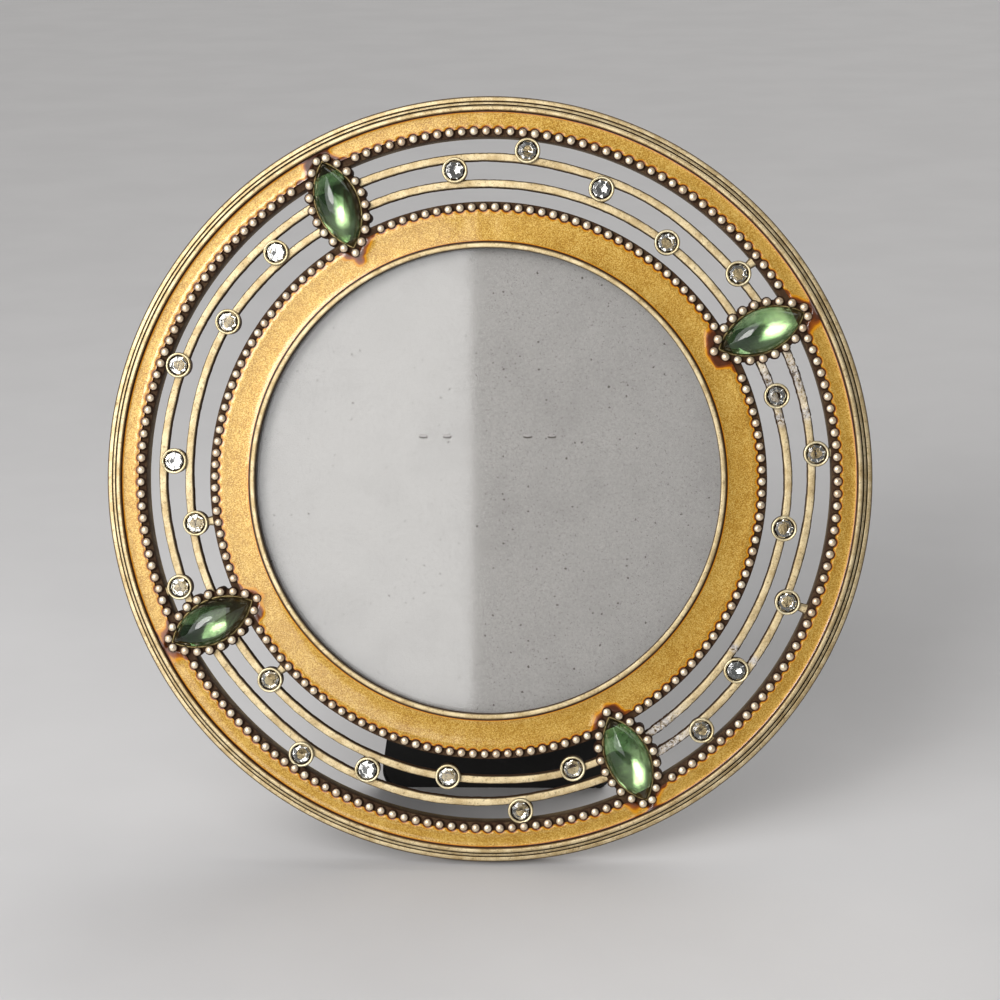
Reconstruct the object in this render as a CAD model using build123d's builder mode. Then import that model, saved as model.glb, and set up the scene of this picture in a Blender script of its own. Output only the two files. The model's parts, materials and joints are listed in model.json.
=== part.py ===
from build123d import *
from math import acos, atan, cos, degrees, hypot, radians, sin, tan
import os

os.makedirs("parts", exist_ok=True)

# Round openwork table photo frame: one metal casting with beaded rings, wires and
# stone settings, two poured enamel bands, stones, glass, a backing held by turn
# buttons, and a hinged easel leg. Sizes in millimetres, angles in degrees.

# Stance: the face leans back and the leg stands behind it
lean_angle = 15.0
leg_rake_angle = 9.0

# General fits
seat_gap = 0.03
pane_gap = 0.3
fixed_pin_gap = 0.02
running_gap = 0.06
root_overlap = 0.3
cut_overrun = 1.0

# Rim moulding, from its outer edge inwards, heights from the flat back
rim_radius = 73.0
outer_band_width = 1.25
middle_band_width = 0.8
ridge_width = 1.0
rim_edge_height = 3.3
outer_band_height = 4.0
middle_band_low_height = 4.6
middle_band_height = 4.9
ridge_height = 5.9

# Enamel channels and bead bands, on one floor
floor_height = 4.6
outer_enamel_width = 2.65
outer_bead_band_width = 2.0
enamel_thickness = 0.5

# Inner ring, inside the openwork: bead band, enamel band, sight lip
openwork_width = 12.2
inner_bead_band_width = 2.1
inner_enamel_width = 5.2
lip_width = 1.45
lip_height = 5.9

# Rebate for glass, board and cloth
glass_seat_height = 3.8
rebate_width = 2.95
glass_thickness = 1.5
board_thickness = 1.6
cloth_thickness = 0.5

# Beads on the two bands
outer_bead_radius = 0.97
outer_bead_count = 180
inner_bead_radius = 0.95
inner_bead_count = 147
bead_height = 1.0
bead_sides = 4

# The two wires, hand bent: distance from the ring on their side, sway at even
# steps of the turn
wire_width = 1.75
wire_bottom_height = 2.2
wire_top_height = 4.2
outer_wire_distance = 3.55
inner_wire_distance = 3.9
outer_wire_sway_shares = (
    -0.16, 0.05, -0.05, -0.27, -0.11, -0.27, -0.11, -0.11,
    0.05, 0.22, 0.43, 0.33, 0.27, 0.05, -0.05, -0.22,
    0.0, 0.05, -0.16, -0.43, -0.38, -0.33, -0.38, -0.43,
)
inner_wire_sway_shares = (
    0.05, -0.16, -0.38, -0.33, -0.27, -0.27, -0.27, -0.05,
    0.05, 0.33, 0.6, 0.33, 0.11, 0.16, 0.0, -0.05,
    0.05, 0.11, 0.11, 0.38, 0.16, -0.11, -0.18, -0.16,
)

# Round cups for the small stones
cup_radius = 2.475
cup_bore_radius = 1.8
cup_bottom_height = 1.6
cup_top_height = 5.0
cup_bore_depth = 1.7
stub_width = 1.5

# Each small stone: angle round the frame, its place between the wires as a share
# of their spacing, and which bead band its stub reaches: 1 outer, -1 inner, 0 none
OUTWARD, INWARD, NO_STUB = 1, -1, 0
small_stone_shares = (
    (4.8, 1.17, OUTWARD), (16.4, 0.04, NO_STUB), (39.5, 0.98, OUTWARD),
    (52.9, -0.08, NO_STUB), (68.5, 0.51, NO_STUB), (82.9, 1.28, OUTWARD),
    (95.8, 0.48, NO_STUB), (132.6, 0.48, NO_STUB), (148.3, 0.23, NO_STUB),
    (159.3, 1.28, OUTWARD), (176.2, 0.65, NO_STUB), (188.1, -0.11, INWARD),
    (198.9, 1.14, OUTWARD), (222.3, -0.11, INWARD), (235.6, 1.35, OUTWARD),
    (247.3, 0.61, NO_STUB), (262.3, 0.0, NO_STUB), (275.7, 1.33, OUTWARD),
    (286.5, 0.04, NO_STUB), (310.7, 1.16, OUTWARD), (322.8, 0.51, NO_STUB),
    (338.1, 0.93, OUTWARD), (351.0, 0.0, NO_STUB),
)

# Small faceted stone; its cup has as many sides
stone_sides = 8
stone_crown_height = 0.55
stone_crown_taper_angle = 42.0

# Navette settings across the openwork: angle round the frame and tilt off radial
setting_places = ((28.7, -5.5), (118.2, 0.0), (206.9, 0.0), (296.9, -3.0))
setting_bead_count = 19
setting_bead_radius = 0.8
setting_bead_clearance = 0.08
setting_margin = 0.1
setting_bottom_height = 1.4
setting_top_height = 4.9
cabochon_length = 17.6
cabochon_width = 8.0
cabochon_girdle_height = 0.9
cabochon_seat_depth = 1.0
cabochon_dome_steps = 4
cabochon_flat_share = 0.12

# Turn buttons and their screws, behind the inner ring
button_angles = {"top": 90, "left": 210, "right": 330}
button_thickness = 0.8
button_head_radius = 2.7
button_tip_radius = 1.9
button_reach = 7.0
button_gap = 0.05
screw_shank_radius = 0.9
screw_head_radius = 1.9
screw_head_height = 0.9
screw_depth = 2.6

# Leg hinge: two leaves rolled round one pin
hinge_height = 3.0
leaf_thickness = 0.6
knuckle_radius = 1.3
pin_radius = 0.6
hinge_width = 28.0
middle_knuckle_width = 10.0
knuckle_gap = 0.2
upper_leaf_length = 10.0
lower_leaf_width = 22.0
lower_leaf_length = 9.0
stop_tongue_length = 4.5
stop_tongue_width = 6.0
stop_gap = 0.1

# Staples through the backing
staple_height = 8.6
staple_spacing = 20.0
staple_crown_width = 4.6
staple_wire_width = 0.6
staple_wire_thickness = 0.5
staple_end_cover = 0.1

# Leg
leg_core_thickness = 1.8
leg_cloth_thickness = 0.4
leg_top_width = 24.0
leg_foot_width = 48.0
leg_foot_corner_radius = 5.0
leg_top_corner_radius = 2.0
leg_hinge_gap = 1.0
rivet_shank_radius = 0.9
rivet_head_radius = 1.6
rivet_head_height = 0.5
rivet_spacing = 15.0
rivet_drop = 5.8

# Radii that follow
outer_band_radius = rim_radius - outer_band_width
middle_band_radius = outer_band_radius - middle_band_width
channel_radius = middle_band_radius - ridge_width
outer_bead_band_radius = channel_radius - outer_enamel_width
rim_inner_radius = outer_bead_band_radius - outer_bead_band_width
outer_bead_line_radius = rim_inner_radius + outer_bead_band_width / 2
inner_ring_radius = rim_inner_radius - openwork_width
inner_enamel_radius = inner_ring_radius - inner_bead_band_width
lip_radius = inner_enamel_radius - inner_enamel_width
sight_radius = lip_radius - lip_width
inner_bead_line_radius = inner_ring_radius - inner_bead_band_width / 2
rebate_radius = sight_radius + rebate_width
pane_radius = rebate_radius - pane_gap
outer_wire_radius = rim_inner_radius - outer_wire_distance
inner_wire_radius = inner_ring_radius + inner_wire_distance
wire_spacing = outer_wire_radius - inner_wire_radius
setting_radius = inner_ring_radius + openwork_width / 2
button_pivot_radius = (rebate_radius + inner_ring_radius) / 2

# Heights of the layers behind the sight lip
board_front_height = glass_seat_height - glass_thickness
cloth_front_height = board_front_height - board_thickness
cloth_back_height = cloth_front_height - cloth_thickness
pivot_height = cloth_back_height - knuckle_radius

# Front plane: X to the right, its normal towards the viewer, its origin at the
# middle of the flat back of the casting. The rim's back edge stands on Z = 0 and
# the whole object is centred over the origin.
lean = radians(lean_angle)
ridge_reach = middle_band_radius * sin(lean) + ridge_height * cos(lean)
rim_reach = rim_radius * sin(lean)
face_setback = (ridge_reach - rim_reach) / 2
face_rise = rim_radius * cos(lean)
front_normal = Vector(0, -cos(lean), sin(lean))
front_up = Vector(0, sin(lean), cos(lean))
FRONT = Plane(origin=(0, face_setback, face_rise), x_dir=(1, 0, 0), z_dir=front_normal)
SECTION = Plane(origin=FRONT.origin, x_dir=(1, 0, 0), z_dir=-front_up)
FRONT_AXIS = Axis(FRONT.origin, front_normal)

# Hinge planes: X along the leaf away from the pin, Z along the pin
rake = radians(leg_rake_angle)
pivot = FRONT.origin + front_up * hinge_height + front_normal * pivot_height
leg_down = Vector(0, sin(rake), -cos(rake))
leg_back = Vector(0, cos(rake), sin(rake))
UPPER_HINGE = Plane(origin=pivot, x_dir=front_up, z_dir=(1, 0, 0))
LOWER_HINGE = Plane(origin=pivot, x_dir=leg_down, z_dir=(1, 0, 0))
LEG = Plane(origin=pivot, x_dir=(1, 0, 0), z_dir=leg_back)
STAPLE = Plane(
    origin=FRONT.origin + front_up * staple_height, x_dir=(1, 0, 0), z_dir=-front_up
)


def polar(radius, angle):
    """A point of the front plane, by its radius and its angle round the frame."""
    return (radius * cos(radians(angle)), radius * sin(radians(angle)))


def grown(length, width, growth):
    """Length and width of a navette outline that is offset outwards by growth."""
    side_radius = (length**2 + width**2) / (4 * width)
    side_centre = side_radius - width / 2
    half_length = ((side_radius + growth) ** 2 - side_centre**2) ** 0.5
    return 2 * half_length, width + 2 * growth


def navette(length, width):
    """Pointed oval of two arcs, long axis along X."""
    with BuildSketch() as outline:
        with BuildLine():
            left, right = (-length / 2, 0), (length / 2, 0)
            ThreePointArc(left, (0, -width / 2), right)
            ThreePointArc(right, (0, width / 2), left)
        make_face()
    return outline.sketch


def along_navette(length, width, share):
    """The point at this share of the way round a navette, from its inner tip."""
    side_radius = (length**2 + width**2) / (4 * width)
    side_centre = side_radius - width / 2
    half_turn = acos(side_centre / side_radius)
    side = 1 if share < 0.5 else -1
    turn = half_turn * (4 * (share % 0.5) - 1) * side
    return (side_radius * sin(turn), side * (side_radius * cos(turn) - side_centre))


def setting_location(angle, tilt):
    """Where a setting lies in the front plane, its X axis pointing outwards."""
    return Location((*polar(setting_radius, angle), 0), (0, 0, angle + tilt))


def clear_of_settings(x, y):
    """Whether a bead at this point of the front plane misses every setting."""
    side_radius = (plate_length**2 + plate_width**2) / (4 * plate_width)
    side_centre = side_radius - plate_width / 2
    reach_radius = side_radius + outer_bead_radius
    for angle, tilt in setting_places:
        centre_x, centre_y = polar(setting_radius, angle)
        turn = radians(-angle - tilt)
        across, along = x - centre_x, y - centre_y
        local_x = across * cos(turn) - along * sin(turn)
        local_y = across * sin(turn) + along * cos(turn)
        if hypot(local_x, abs(local_y) + side_centre) < reach_radius:
            return False
    return True


def bead_locations(radius, count):
    """Places of the beads on one band, left out where a setting lies."""
    return [
        Location((*polar(radius, step * 360 / count), 0), (0, 0, step * 360 / count))
        for step in range(count)
        if clear_of_settings(*polar(radius, step * 360 / count))
    ]


def bead_stud(radius):
    """Cast bead: a four-sided stud that rises to a point over the origin."""
    with BuildPart() as stud:
        with BuildSketch() as foot:
            RegularPolygon(radius, bead_sides)
        loft(sections=[foot.sketch, Vertex(0, 0, bead_height)])
    return stud.part


def wire_edge(radius, shares):
    """Points of one edge of a hand-bent wire ring."""
    step = 360 / len(shares)
    return [
        polar(radius + share * wire_width, index * step)
        for index, share in enumerate(shares)
    ]


def small_stone_place(angle, share):
    """Middle of a small stone in the front plane."""
    return polar(inner_wire_radius + share * wire_spacing, angle)


setting_locations = [setting_location(*place) for place in setting_places]
small_stone_places = [
    small_stone_place(angle, share) for angle, share, _ in small_stone_shares
]
bead_line_length, bead_line_width = grown(
    cabochon_length,
    cabochon_width,
    seat_gap + setting_bead_clearance + setting_bead_radius,
)
plate_length, plate_width = grown(
    bead_line_length, bead_line_width, setting_bead_radius + setting_margin
)
screw_places = [
    polar(button_pivot_radius, angle) for angle in button_angles.values()
]

# Every bead with its place: the two bands on their floor, then round each navette
band_floor = FRONT.offset(floor_height).location
setting_top = FRONT.offset(setting_top_height).location
bead_rows = [
    (
        bead_stud(outer_bead_radius),
        [band_floor * spot for spot in bead_locations(outer_bead_line_radius, outer_bead_count)],
    ),
    (
        bead_stud(inner_bead_radius),
        [band_floor * spot for spot in bead_locations(inner_bead_line_radius, inner_bead_count)],
    ),
    (
        bead_stud(setting_bead_radius),
        [
            setting_top
            * setting
            * Location(along_navette(bead_line_length, bead_line_width, step / setting_bead_count))
            for setting in setting_locations
            for step in range(setting_bead_count)
        ],
    ),
]

# Frame casting: rim, inner ring, wires, cups and settings in one piece
with BuildPart() as frame_casting:
    with BuildSketch(SECTION):
        with BuildLine():
            Polyline(
                (rim_inner_radius, 0),
                (rim_radius, 0),
                (rim_radius, rim_edge_height),
                (outer_band_radius, outer_band_height),
                (outer_band_radius, middle_band_low_height),
                (middle_band_radius, middle_band_height),
                (middle_band_radius, ridge_height),
                (channel_radius, ridge_height),
                (channel_radius, floor_height),
                (rim_inner_radius, floor_height),
                close=True,
            )
        make_face()
        with BuildLine():
            Polyline(
                (rebate_radius, 0),
                (inner_ring_radius, 0),
                (inner_ring_radius, floor_height),
                (lip_radius, floor_height),
                (lip_radius, lip_height),
                (sight_radius, lip_height),
                (sight_radius, glass_seat_height),
                (rebate_radius, glass_seat_height),
                close=True,
            )
        make_face()
    revolve(axis=FRONT_AXIS)

    # The two wires
    for radius, shares in (
        (outer_wire_radius, outer_wire_sway_shares),
        (inner_wire_radius, inner_wire_sway_shares),
    ):
        with BuildSketch(FRONT.offset(wire_bottom_height)):
            with BuildLine():
                Spline(wire_edge(radius + wire_width / 2, shares), periodic=True)
            make_face()
            with BuildLine():
                Spline(wire_edge(radius - wire_width / 2, shares), periodic=True)
            make_face(mode=Mode.SUBTRACT)
        extrude(amount=wire_top_height - wire_bottom_height)

    # Stubs that carry some cups from a bead band
    for angle, share, stub in small_stone_shares:
        if stub == NO_STUB:
            continue
        cup_place = inner_wire_radius + share * wire_spacing
        band = rim_inner_radius if stub == OUTWARD else inner_ring_radius
        stub_length = abs(band - cup_place) + root_overlap
        middle = cup_place + stub * stub_length / 2
        stub_location = Location((*polar(middle, angle), 0), (0, 0, angle))
        with BuildSketch(FRONT.offset(wire_bottom_height)):
            with Locations(stub_location):
                Rectangle(stub_length, stub_width)
        extrude(amount=wire_top_height - wire_bottom_height)

    # Cups, and the plates of the navette settings
    with BuildSketch(FRONT.offset(cup_bottom_height)):
        with Locations(*small_stone_places):
            RegularPolygon(cup_radius, stone_sides)
    extrude(amount=cup_top_height - cup_bottom_height)
    with BuildSketch(FRONT.offset(setting_bottom_height)):
        with Locations(*setting_locations):
            add(navette(plate_length, plate_width))
    extrude(amount=setting_top_height - setting_bottom_height)

    # Beads of the two bands, and those round each navette
    for stud, spots in bead_rows:
        with Locations(*spots):
            add(stud)

    # Seats of the stones, and the screw holes in the back of the inner ring
    with BuildSketch(FRONT.offset(setting_top_height - cabochon_seat_depth)):
        with Locations(*setting_locations):
            add(navette(*grown(cabochon_length, cabochon_width, seat_gap)))
    extrude(amount=cabochon_seat_depth + bead_height + cut_overrun, mode=Mode.SUBTRACT)
    with BuildSketch(FRONT.offset(cup_top_height - cup_bore_depth)):
        with Locations(*small_stone_places):
            RegularPolygon(cup_bore_radius, stone_sides)
    extrude(amount=cup_bore_depth + cut_overrun, mode=Mode.SUBTRACT)
    with BuildSketch(FRONT):
        with Locations(*screw_places):
            Circle(screw_shank_radius + seat_gap)
    extrude(amount=screw_depth + seat_gap, mode=Mode.SUBTRACT)
frame_casting.part.label = "frame_casting"
export_step(frame_casting.part, "parts/frame_casting.step")

# Poured enamel in the two channels, stopped at the settings
for name, outside, inside in (
    ("outer_enamel", channel_radius, outer_bead_band_radius),
    ("inner_enamel", inner_enamel_radius, lip_radius),
):
    with BuildPart() as enamel:
        with BuildSketch(FRONT.offset(floor_height)):
            Circle(outside - seat_gap)
            Circle(inside + seat_gap, mode=Mode.SUBTRACT)
            with Locations(*setting_locations):
                add(navette(*grown(plate_length, plate_width, seat_gap)), mode=Mode.SUBTRACT)
        extrude(amount=enamel_thickness)
    enamel.part.label = name
    export_step(enamel.part, f"parts/{name}.step")

# Navette cabochons: a low girdle under a dome of tapered steps, round across
dome_turns = [90 * step / cabochon_dome_steps for step in range(cabochon_dome_steps)]
dome_turns.append(degrees(acos(cabochon_flat_share)))
dome_steps = [
    (cabochon_width / 2 * (1 - cos(radians(turn))), cabochon_width / 2 * sin(radians(turn)))
    for turn in dome_turns
]
for number, location in enumerate(setting_locations, 1):
    seat = Location((0, 0, setting_top_height - cabochon_seat_depth))
    girdle = Plane(FRONT.location * location * seat)
    with BuildPart() as cabochon:
        with BuildSketch(girdle):
            add(navette(cabochon_length, cabochon_width))
        extrude(amount=cabochon_girdle_height)
        for (inset, low), (next_inset, high) in zip(dome_steps, dome_steps[1:]):
            with BuildSketch(girdle.offset(cabochon_girdle_height + low)):
                add(navette(*grown(cabochon_length, cabochon_width, -inset)))
            step_taper = degrees(atan((next_inset - inset) / (high - low)))
            extrude(amount=high - low, taper=step_taper)
    cabochon.part.label = f"cabochon_{number}"
    export_step(cabochon.part, f"parts/cabochon_{number}.step")

# Small faceted stones: pavilion down to the floor of the cup, crown above its rim
for number, stone_place in enumerate(small_stone_places, 1):
    GIRDLE = Plane(FRONT.location * Location((*stone_place, cup_top_height)))
    culet = GIRDLE.origin - front_normal * cup_bore_depth
    with BuildPart() as small_stone:
        with BuildSketch(GIRDLE) as girdle_outline:
            RegularPolygon(cup_bore_radius - seat_gap, stone_sides)
        extrude(amount=stone_crown_height, taper=stone_crown_taper_angle)
        loft(sections=[girdle_outline.sketch, Vertex(*culet)])
    small_stone.part.label = f"small_stone_{number:02d}"
    export_step(small_stone.part, f"parts/small_stone_{number:02d}.step")

# Glass pane behind the sight lip
with BuildPart() as glass_pane:
    with BuildSketch(FRONT.offset(board_front_height)):
        Circle(pane_radius)
    extrude(amount=glass_thickness)
glass_pane.part.label = "glass_pane"
export_step(glass_pane.part, "parts/glass_pane.step")

# Chipboard backing and the cloth on its back, both pierced by the staple legs
staple_leg_places = [
    (side * staple_spacing / 2 + leg * (staple_crown_width / 2), staple_height)
    for side in (-1, 1)
    for leg in (-1, 1)
]
for name, back_height, thickness in (
    ("backing_board", cloth_front_height, board_thickness),
    ("backing_cloth", cloth_back_height, cloth_thickness),
):
    with BuildPart() as layer:
        with BuildSketch(FRONT.offset(back_height)):
            Circle(pane_radius)
            with Locations(*staple_leg_places):
                Rectangle(
                    staple_wire_width + 2 * seat_gap,
                    staple_wire_thickness + 2 * seat_gap,
                    mode=Mode.SUBTRACT,
                )
        extrude(amount=thickness)
    layer.part.label = name
    export_step(layer.part, f"parts/{name}.step")

# Upper hinge leaf: plate on the cloth, with a rolled knuckle at each end of the pin
side_knuckle_width = (hinge_width - middle_knuckle_width) / 2 - knuckle_gap
side_knuckle_start = middle_knuckle_width / 2 + knuckle_gap
plate_line = knuckle_radius - leaf_thickness / 2
plate_start = knuckle_radius + knuckle_gap
with BuildPart() as upper_leaf:
    with BuildSketch(UPPER_HINGE.offset(-hinge_width / 2)):
        with Locations(((plate_start + upper_leaf_length) / 2, plate_line)):
            Rectangle(upper_leaf_length - plate_start, leaf_thickness)
    extrude(amount=hinge_width)
    for start in (-hinge_width / 2, side_knuckle_start):
        with BuildSketch(UPPER_HINGE.offset(start)):
            Circle(knuckle_radius)
            with Locations((upper_leaf_length / 2, plate_line)):
                Rectangle(upper_leaf_length, leaf_thickness)
            Circle(pin_radius + fixed_pin_gap, mode=Mode.SUBTRACT)
        extrude(amount=side_knuckle_width)
    with BuildSketch(FRONT.offset(cloth_back_height)):
        with Locations(*staple_leg_places):
            Rectangle(
                staple_wire_width + 2 * seat_gap, staple_wire_thickness + 2 * seat_gap
            )
    extrude(amount=-leaf_thickness, mode=Mode.SUBTRACT)
upper_leaf.part.label = "hinge_upper_leaf"
export_step(upper_leaf.part, "parts/hinge_upper_leaf.step")

# Lower hinge leaf: one knuckle between the others, a plate on the leg, and a
# tongue that stops against the upper leaf when the leg is open
with BuildPart() as lower_leaf:
    with BuildSketch(LOWER_HINGE.offset(-lower_leaf_width / 2)):
        with Locations(((plate_start + lower_leaf_length) / 2, 0)):
            Rectangle(lower_leaf_length - plate_start, leaf_thickness)
    extrude(amount=lower_leaf_width)
    with BuildSketch(LOWER_HINGE.offset(-middle_knuckle_width / 2)):
        Circle(knuckle_radius)
        with Locations((plate_start / 2 + leaf_thickness / 2, 0)):
            Rectangle(plate_start + leaf_thickness, leaf_thickness)
        Circle(pin_radius + running_gap, mode=Mode.SUBTRACT)
    extrude(amount=middle_knuckle_width)
    tongue_line = plate_line - leaf_thickness - stop_gap
    with BuildSketch(UPPER_HINGE.offset(-stop_tongue_width / 2)):
        with Locations((stop_tongue_length / 2, tongue_line)):
            Rectangle(stop_tongue_length, leaf_thickness)
        Circle(pin_radius + running_gap, mode=Mode.SUBTRACT)
    extrude(amount=stop_tongue_width)
    with BuildSketch(LEG.offset(-leaf_thickness / 2)):
        with Locations((-rivet_spacing / 2, rivet_drop), (rivet_spacing / 2, rivet_drop)):
            Circle(rivet_shank_radius + seat_gap)
    extrude(amount=leaf_thickness, mode=Mode.SUBTRACT)
lower_leaf.part.label = "hinge_lower_leaf"
export_step(lower_leaf.part, "parts/hinge_lower_leaf.step")

with BuildPart() as hinge_pin:
    with BuildSketch(UPPER_HINGE.offset(-hinge_width / 2)):
        Circle(pin_radius)
    extrude(amount=hinge_width)
hinge_pin.part.label = "hinge_pin"
export_step(hinge_pin.part, "parts/hinge_pin.step")

# Staples: crown on the upper leaf, legs almost through the board
leaf_back_height = cloth_back_height - leaf_thickness
staple_end_height = board_front_height - staple_end_cover
staple_outer_width = staple_crown_width + staple_wire_width
with BuildPart() as staples:
    with BuildSketch(STAPLE.offset(-staple_wire_thickness / 2)):
        for side in (-1, 1):
            middle = side * staple_spacing / 2
            with Locations((middle, leaf_back_height - staple_wire_thickness / 2)):
                Rectangle(staple_outer_width, staple_wire_thickness)
            leg_length = staple_end_height - leaf_back_height + staple_wire_thickness
            leg_middle = staple_end_height - leg_length / 2
            with Locations(
                (middle - staple_crown_width / 2, leg_middle),
                (middle + staple_crown_width / 2, leg_middle),
            ):
                Rectangle(staple_wire_width, leg_length)
    extrude(amount=staple_wire_thickness)
staples.part.label = "hinge_staples"
export_step(staples.part, "parts/hinge_staples.step")

# Leg: stiff board with cloth wrapped over its back and edges, foot cut level
leg_top_drop = knuckle_radius + leg_hinge_gap
leg_inside = leaf_thickness / 2
leg_back_depth = leg_inside + leg_core_thickness + leg_cloth_thickness
foot_drop = pivot.Z / cos(rake) + leg_back_depth * tan(rake)


def leg_outline(growth):
    """Tapered outline of the leg, from its top edge down to its rounded foot."""
    with BuildSketch() as outline:
        with BuildLine():
            Polyline(
                (-leg_top_width / 2 - growth, leg_top_drop - growth),
                (leg_top_width / 2 + growth, leg_top_drop - growth),
                (leg_foot_width / 2 + growth, foot_drop + growth),
                (-leg_foot_width / 2 - growth, foot_drop + growth),
                close=True,
            )
        make_face()
        corners = outline.vertices().group_by(Axis.Y)
        fillet(corners[-1], leg_foot_corner_radius + growth)
        fillet(outline.vertices().group_by(Axis.Y)[0], leg_top_corner_radius + growth)
    return outline.sketch


with BuildPart() as leg_core:
    with BuildSketch(LEG.offset(leg_inside)):
        add(leg_outline(0))
    extrude(amount=leg_core_thickness)
    with BuildSketch(LEG.offset(leg_inside)):
        with Locations((-rivet_spacing / 2, rivet_drop), (rivet_spacing / 2, rivet_drop)):
            Circle(rivet_shank_radius + seat_gap)
    extrude(amount=leg_core_thickness, mode=Mode.SUBTRACT)
    split(bisect_by=Plane.XY, keep=Keep.TOP)
leg_core.part.label = "leg_core"
export_step(leg_core.part, "parts/leg_core.step")

with BuildPart() as leg_cloth:
    with BuildSketch(LEG.offset(leg_inside)):
        add(leg_outline(leg_cloth_thickness))
    extrude(amount=leg_core_thickness + leg_cloth_thickness)
    with BuildSketch(LEG.offset(leg_inside)):
        add(leg_outline(seat_gap))
    extrude(amount=leg_core_thickness, mode=Mode.SUBTRACT)
    split(bisect_by=Plane.XY, keep=Keep.TOP)
leg_cloth.part.label = "leg_cloth"
export_step(leg_cloth.part, "parts/leg_cloth.step")

# Rivets: round heads on the lower leaf, shanks through the leg's board
with BuildPart() as leg_rivets:
    rivet_places = ((-rivet_spacing / 2, rivet_drop), (rivet_spacing / 2, rivet_drop))
    with BuildSketch(LEG.offset(-leaf_thickness / 2)):
        with Locations(*rivet_places):
            Circle(rivet_shank_radius)
    extrude(amount=leaf_thickness + leg_core_thickness)
    with BuildSketch(LEG.offset(-leaf_thickness / 2)):
        with Locations(*rivet_places):
            Circle(rivet_head_radius)
    extrude(amount=-rivet_head_height)
leg_rivets.part.label = "leg_rivets"
export_step(leg_rivets.part, "parts/leg_rivets.step")

# Turn buttons: pivot behind the inner ring, tip over the backing
for name, angle in button_angles.items():
    with BuildPart() as turn_button:
        with BuildSketch(FRONT.offset(-button_gap)):
            pivot_place = Location((*polar(button_pivot_radius, angle), 0), (0, 0, angle))
            with Locations(pivot_place):
                Circle(button_head_radius)
                with Locations((-button_reach, 0)):
                    Circle(button_tip_radius)
            make_hull()
            with Locations(pivot_place):
                Circle(screw_shank_radius + running_gap, mode=Mode.SUBTRACT)
        extrude(amount=-button_thickness)
    turn_button.part.label = f"turn_button_{name}"
    export_step(turn_button.part, f"parts/turn_button_{name}.step")

# Screws of the turn buttons
head_height = -(2 * button_gap + button_thickness)
with BuildPart() as button_screws:
    with BuildSketch(FRONT.offset(screw_depth)):
        with Locations(*screw_places):
            Circle(screw_shank_radius)
    extrude(amount=head_height - screw_depth)
    with BuildSketch(FRONT.offset(head_height)):
        with Locations(*screw_places):
            Circle(screw_head_radius)
    extrude(amount=-screw_head_height)
button_screws.part.label = "button_screws"
export_step(button_screws.part, "parts/button_screws.step")
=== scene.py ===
"""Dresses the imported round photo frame: gold casting, enamel, stones, glass, board, velvet and steel."""

import json
import logging
import math
from collections.abc import Iterator
from contextlib import contextmanager
from dataclasses import dataclass, field
from enum import Enum

import bmesh
import bpy
import numpy as np
from mathutils import Matrix, Quaternion, Vector, noise

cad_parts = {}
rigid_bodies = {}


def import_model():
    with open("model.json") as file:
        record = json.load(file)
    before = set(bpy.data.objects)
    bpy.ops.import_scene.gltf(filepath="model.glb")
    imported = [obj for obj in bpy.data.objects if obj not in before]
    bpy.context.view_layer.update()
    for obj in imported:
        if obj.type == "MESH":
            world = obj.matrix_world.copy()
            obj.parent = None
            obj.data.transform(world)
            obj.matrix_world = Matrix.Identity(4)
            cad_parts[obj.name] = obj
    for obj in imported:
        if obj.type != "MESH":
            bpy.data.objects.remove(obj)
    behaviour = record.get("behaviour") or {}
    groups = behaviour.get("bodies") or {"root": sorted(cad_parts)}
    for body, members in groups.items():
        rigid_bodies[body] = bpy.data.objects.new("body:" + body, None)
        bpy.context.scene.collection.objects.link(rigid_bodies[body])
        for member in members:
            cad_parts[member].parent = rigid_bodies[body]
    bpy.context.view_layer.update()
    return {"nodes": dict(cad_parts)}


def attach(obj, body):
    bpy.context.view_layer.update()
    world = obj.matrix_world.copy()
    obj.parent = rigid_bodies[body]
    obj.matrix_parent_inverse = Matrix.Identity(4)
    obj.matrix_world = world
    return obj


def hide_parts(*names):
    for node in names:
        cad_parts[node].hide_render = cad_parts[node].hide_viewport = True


LOG = logging.getLogger("photo_frame")
MM = 0.001
# A corner of an outline: its two coordinates, its rounding radius and its recess mark.
Corner = tuple[float, float, float, float]
# Where a copy of a shape goes: x, y and z in millimetres, and its turn in radians.
Place = tuple[float, float, float, float]


class Body(Enum):
    """The CAD bodies that pieces ride on."""

    FRAME = "frame"
    LEG = "leg"
    TOP_BUTTON = "button_top"
    LEFT_BUTTON = "button_left"
    RIGHT_BUTTON = "button_right"


class Slot(Enum):
    """The record's material slots."""

    GOLD = "antique_gold_metal"
    ENAMEL = "amber_enamel"
    GREEN = "green_glass"
    CRYSTAL = "clear_crystal"
    PANE = "pane_glass"
    CHIPBOARD = "grey_chipboard"
    VELVET = "black_velvet"
    STEEL = "plated_steel"


def tint(red: int, green: int, blue: int) -> tuple[float, float, float, float]:
    """A screen colour from 0 to 255 as the linear colour that a shader takes.

    Args:
        red: Red part.
        green: Green part.
        blue: Blue part.

    Returns:
        The linear colour with full alpha.
    """
    parts = [c / 255 for c in (red, green, blue)]
    return (*[p / 12.92 if p <= 0.04045 else ((p + 0.055) / 1.055) ** 2.4 for p in parts], 1.0)


def smooth_step(low: float, high: float, value: np.ndarray) -> np.ndarray:
    """A soft step from 0 at low to 1 at high.

    Args:
        low: Value where the step starts.
        high: Value where it ends, which may be below low.
        value: Values to step.

    Returns:
        The stepped values.
    """
    share = np.clip((value - low) / (high - low), 0.0, 1.0)
    return share * share * (3 - 2 * share)


def around(steps: int) -> np.ndarray:
    """Even steps of a whole turn, in radians."""
    return np.arange(steps) * 2 * math.pi / steps


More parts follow.
